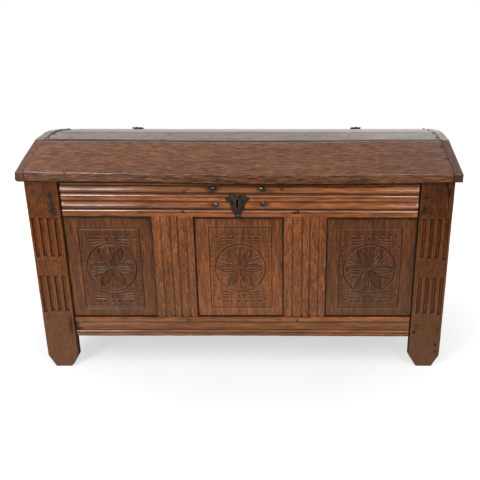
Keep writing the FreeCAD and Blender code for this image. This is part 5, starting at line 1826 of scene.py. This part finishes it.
@dataclass
class FrontIron:
    """The shield with its scrolled ears, and the rose-headed nails about it."""

    palette: Palette
    face: float = -306.25
    middle: float = -9.0
    shield_low: float = 520.0
    half_outline: tuple[Point, ...] = (
        (0, 0.4), (4.0, 1.4), (6.6, 5.5), (8.4, 10.5), (14.5, 22), (20.5, 34), (23.4, 44), (23.0, 51),
        (21.4, 55.5), (24.5, 56.4), (29.0, 55.6), (33.8, 57.2), (37.6, 61.0), (38.2, 65.8), (35.6, 69.6),
        (31.2, 70.2), (29.2, 67.6), (27.0, 70.0), (27.6, 74.2), (23.4, 76.0), (17.0, 75.6), (11.0, 74.6),
        (7.0, 75.6), (3.0, 73.4), (0, 71.2))
    key_low: float = 31.5
    key_high: float = 55.6
    bow: float = 6.6
    slot: float = 4.6
    rim: float = 0.7
    rim_lift: float = 1.7
    ear_slip: float = 0.35
    plate: float = 1.1
    plate_arris: float = 0.35
    dish: float = 0.5
    weld_reach: float = 0.01
    heads: tuple[NailHeads, ...] = (
        NailHeads("iron_lock_nails", ((-76.5, 564), (71.5, 566), (-82.5, 615), (66.5, 614)), 8.4, 4.0, 5, 0.0,
                  "lock_nails"),
        NailHeads("iron_shield_nails", ((-23.5, 587), (11.5, 587)), 3.8, 2.0, 6, 1.6, "escutcheon_nails"),
        NailHeads("iron_shield_foot_nail", ((-6.4, 526.0),), 7.6, 2.8, 9, 1.4, dull=True),
        NailHeads("iron_rail_nails", ((130.4, 613.3), (-174.5, 605.8)), 3.0, 1.6, 7, -1.0),
    )

    def build(self) -> None:
        """Make the shield and the nails."""
        self.build_shield()
        for heads in self.heads:
            heads.build(self.face, self.palette)

    def build_shield(self) -> None:
        """The pierced plate, slightly dished and hammered."""
        right = np.array(self.half_outline)
        left = (right * [-1, 1])[-2:0:-1]
        left = left + np.random.default_rng(4).uniform(-self.ear_slip, self.ear_slip, left.shape)
        outline = np.concatenate([right, left]) + [self.middle, self.shield_low]
        turns = np.radians(np.linspace(-50, 230, 15))
        bow = self.bow * np.stack([np.cos(turns), np.sin(turns)], -1) + [0, self.key_high]
        foot = [[side * self.slot * 1.15, self.key_low + 1] for side in (-1, 1)]
        keyhole = np.concatenate([bow, foot]) + [self.middle, self.shield_low]
        curve = bpy.data.curves.new("shield_line", "CURVE")
        curve.dimensions = "2D"
        curve.fill_mode = "BOTH"
        curve.extrude = self.plate / 2 * MM
        curve.bevel_depth = self.plate_arris * MM
        curve.bevel_resolution = 2
        for line in (outline, keyhole):
            spline = curve.splines.new("POLY")
            spline.points.add(len(line) - 1)
            for point, (x, z) in zip(spline.points, line):
                point.co = (x * MM, z * MM, 0, 1)
            spline.use_cyclic_u = True
        blank = linked("shield_blank", curve)
        bpy.context.view_layer.update()
        mesh = bpy.data.meshes.new_from_object(blank)
        bpy.data.objects.remove(blank)
        flat = np.zeros(len(mesh.vertices) * 3)
        mesh.vertices.foreach_get("co", flat)
        flat = flat.reshape(-1, 3)
        from_middle = (flat[:, :2] / MM - [self.middle, self.shield_low + 48]) / [34, 44]
        dish = -self.dish * MM * unit(1 - np.hypot(*from_middle.T))
        placed = np.stack([flat[:, 0], (self.face - 0.6) * MM - flat[:, 2] + dish, flat[:, 1]], -1)
        mesh.vertices.foreach_set("co", placed.ravel())
        mesh.name = "iron_shield"
        mesh.set_sharp_from_angle(angle=SHARP_ANGLE)
        made = linked("iron_shield", mesh)
        weld = made.modifiers.new("joined", "WELD")
        weld.merge_threshold = self.weld_reach * MM
        bpy.context.view_layer.objects.active = made
        bpy.ops.object.modifier_apply(modifier="joined")
        face_out(made)
        dress(made, self.palette.iron, "carcase", "wrought_iron", "escutcheon")
        self.build_keyhole_rim(keyhole)

    def build_keyhole_rim(self, keyhole: Array) -> None:
        """The edge of the keyhole, rubbed bright by the key.

        Args:
            keyhole: X and Z of the points round the keyhole.
        """
        ahead, behind = np.roll(keyhole, -1, axis=0), np.roll(keyhole, 1, axis=0)
        along = (ahead - behind) / np.linalg.norm(ahead - behind, axis=1)[:, None]
        out = np.stack([along[:, 1], -along[:, 0]], -1)
        turns = np.radians(np.arange(0, 360, 60))
        points = [(x + self.rim * math.cos(turn) * nx, self.face - self.rim_lift - self.rim * math.sin(turn),
                   z + self.rim * math.cos(turn) * nz)
                  for (x, z), (nx, nz) in zip(keyhole, out) for turn in turns]
        index = np.arange(len(points)).reshape(len(keyhole), len(turns))
        nxt = np.roll(index, -1, axis=0)
        quads = np.stack([index, np.roll(index, -1, axis=1), np.roll(nxt, -1, axis=1), nxt], -1)
        faces = quads.reshape(-1, 4).tolist()
        made = make_object("iron_keyhole_rim", np.array(points), faces, {}, math.radians(80))
        dress(made, self.palette.bright, "carcase", "wrought_iron")


# Studio


@dataclass(frozen=True)
class SoftBox:
    """One rectangular lamp, in metres and watts."""

    name: str
    stand: Place
    aim: Place
    size: Point
    power: float
    mirrored: bool = True

    def build(self) -> None:
        """Make the lamp and turn it to its aim."""
        data = bpy.data.lights.new(self.name, "AREA")
        data.shape = "RECTANGLE"
        data.size, data.size_y = self.size
        data.energy = self.power
        lamp = linked(self.name, data)
        lamp.location = self.stand
        lamp.visible_glossy = self.mirrored
        lamp.rotation_euler = (Vector(self.stand) - Vector(self.aim)).to_track_quat("Z", "Y").to_euler()


@dataclass
class Studio:
    """Pale floor, even soft light and the camera."""

    camera_place: Place = (0.1273, -1.82045, 0.8837)
    pitch: float = 16.0
    lens: float = 37.16
    shift: float = -41 / 480
    floor_half: float = 9.0
    lamps: tuple[SoftBox, ...] = (
        SoftBox("left_box", (-1.35, -2.20, 1.45), (-0.3, 0, 0.6), (0.75, 1.5), 36),
        SoftBox("right_box", (1.12, -2.1, 1.45), (0.3, 0, 0.6), (0.46, 1.5), 11),
        SoftBox("top_box", (0.0, -1.5, 2.7), (0, 0, 0.4), (3.0, 1.4), 27, False),
        SoftBox("rear_box", (0.6, 2.6, 1.9), (0, 0, 0.4), (2.4, 1.4), 20, False),
    )

    def build(self) -> None:
        """Make the studio."""
        self.build_camera()
        self.build_floor()
        self.build_world()
        for lamp in self.lamps:
            lamp.build()
        bpy.context.scene.view_settings.view_transform = "Standard"

    def build_camera(self) -> None:
        """A level camera looking a little down on the front."""
        data = bpy.data.cameras.new("camera")
        data.lens = self.lens
        data.sensor_width = 36
        data.shift_x = self.shift
        camera = linked("camera", data)
        camera.location = self.camera_place
        camera.rotation_euler = (math.radians(90 - self.pitch), 0, 0)
        bpy.context.scene.camera = camera

    def build_floor(self) -> None:
        """A wide pale floor that keeps the chest's shadow."""
        half = self.floor_half / MM
        corners = np.array([(-half, -half, 0), (half, -half, 0), (half, half, 0), (-half, half, 0)])
        floor = make_object("studio_floor", corners, [[0, 1, 2, 3]], {}, closed=False)
        material = bpy.data.materials.new("pale_floor")
        g = Graph.fresh(material)
        spot = g.add("TexCoord").outputs["Object"]
        speckle = g.noise(spot, 3.0, 2.0)
        colour = g.ramp(speckle, ((0.3, (0.42, 0.42, 0.42)), (0.7, (0.45, 0.45, 0.45))))
        seen = g.add("LightPath").outputs["Is Camera Ray"]
        away = g.add("VectorMath", {0: spot}, operation="LENGTH")
        # The floor glows for the camera, less near the chest: painted darkening of the floor round the chest,
        # white far off.
        glow = g.ranged(away.outputs["Value"], 0.5, 1.7, 0.58, 0.92)
        g.shade({
            "Base Color": colour, "Roughness": 0.9, "Specular IOR Level": 0.0, "Emission Color": (1, 1, 1, 1),
            "Emission Strength": g.times(seen, glow)})
        floor.data.materials.append(material)

    def build_world(self) -> None:
        """A white surround for the camera, and an even soft light with a bright backdrop for gloss."""
        world = bpy.data.worlds.new("studio")
        g = Graph.fresh(world)
        toward = g.add("SeparateXYZ", {0: g.add("TexCoord").outputs["Generated"]}).outputs

        def greys(stops: Sequence[Point]) -> Socket:
            """A grey for each height of the direction, from brightness at places."""
            return g.ramp(toward[2], [(position, (level,) * 3) for position, level in stops])

        rear = greys(((0.0, 1.16), (1.0, 0.42), (0.16, 1.34), (0.35, 2.1), (0.60, 2.9), (0.80, 0.55)))
        rear = g.scaled(rear, g.ranged(toward[0], -0.4, -0.06, 0.68, 1.0))
        ahead = greys(((0.0, 0.25), (1.0, 1.6), (0.45, 0.3), (0.75, 1.6), (0.93, 2.0)))
        gloss = g.mix(g.ranged(toward[1], -0.15, 0.15), ahead, rear)
        path = g.add("LightPath").outputs
        shiny = g.math("MAXIMUM", path["Is Glossy Ray"], path["Is Transmission Ray"])
        level = g.mix(path["Is Camera Ray"], g.mix(shiny, (0.42,) * 3, gloss), (1.0,) * 3)
        shade = g.add("Background", {0: level, 1: 1.0})
        g.add("OutputWorld", {0: shade.outputs[0]})
        bpy.context.scene.world = world


def main() -> None:
    """Dress the chest and set up its studio."""
    logging.basicConfig(level=logging.INFO, format="%(name)s: %(message)s")
    Studio().build()
    palette = Palette()
    CadFinish(palette).apply()
    FrontFrame(palette).build()
    Lid(palette).build()
    FrontIron(palette).build()
    bpy.context.view_layer.update()


if __name__ == "__main__":
    main()
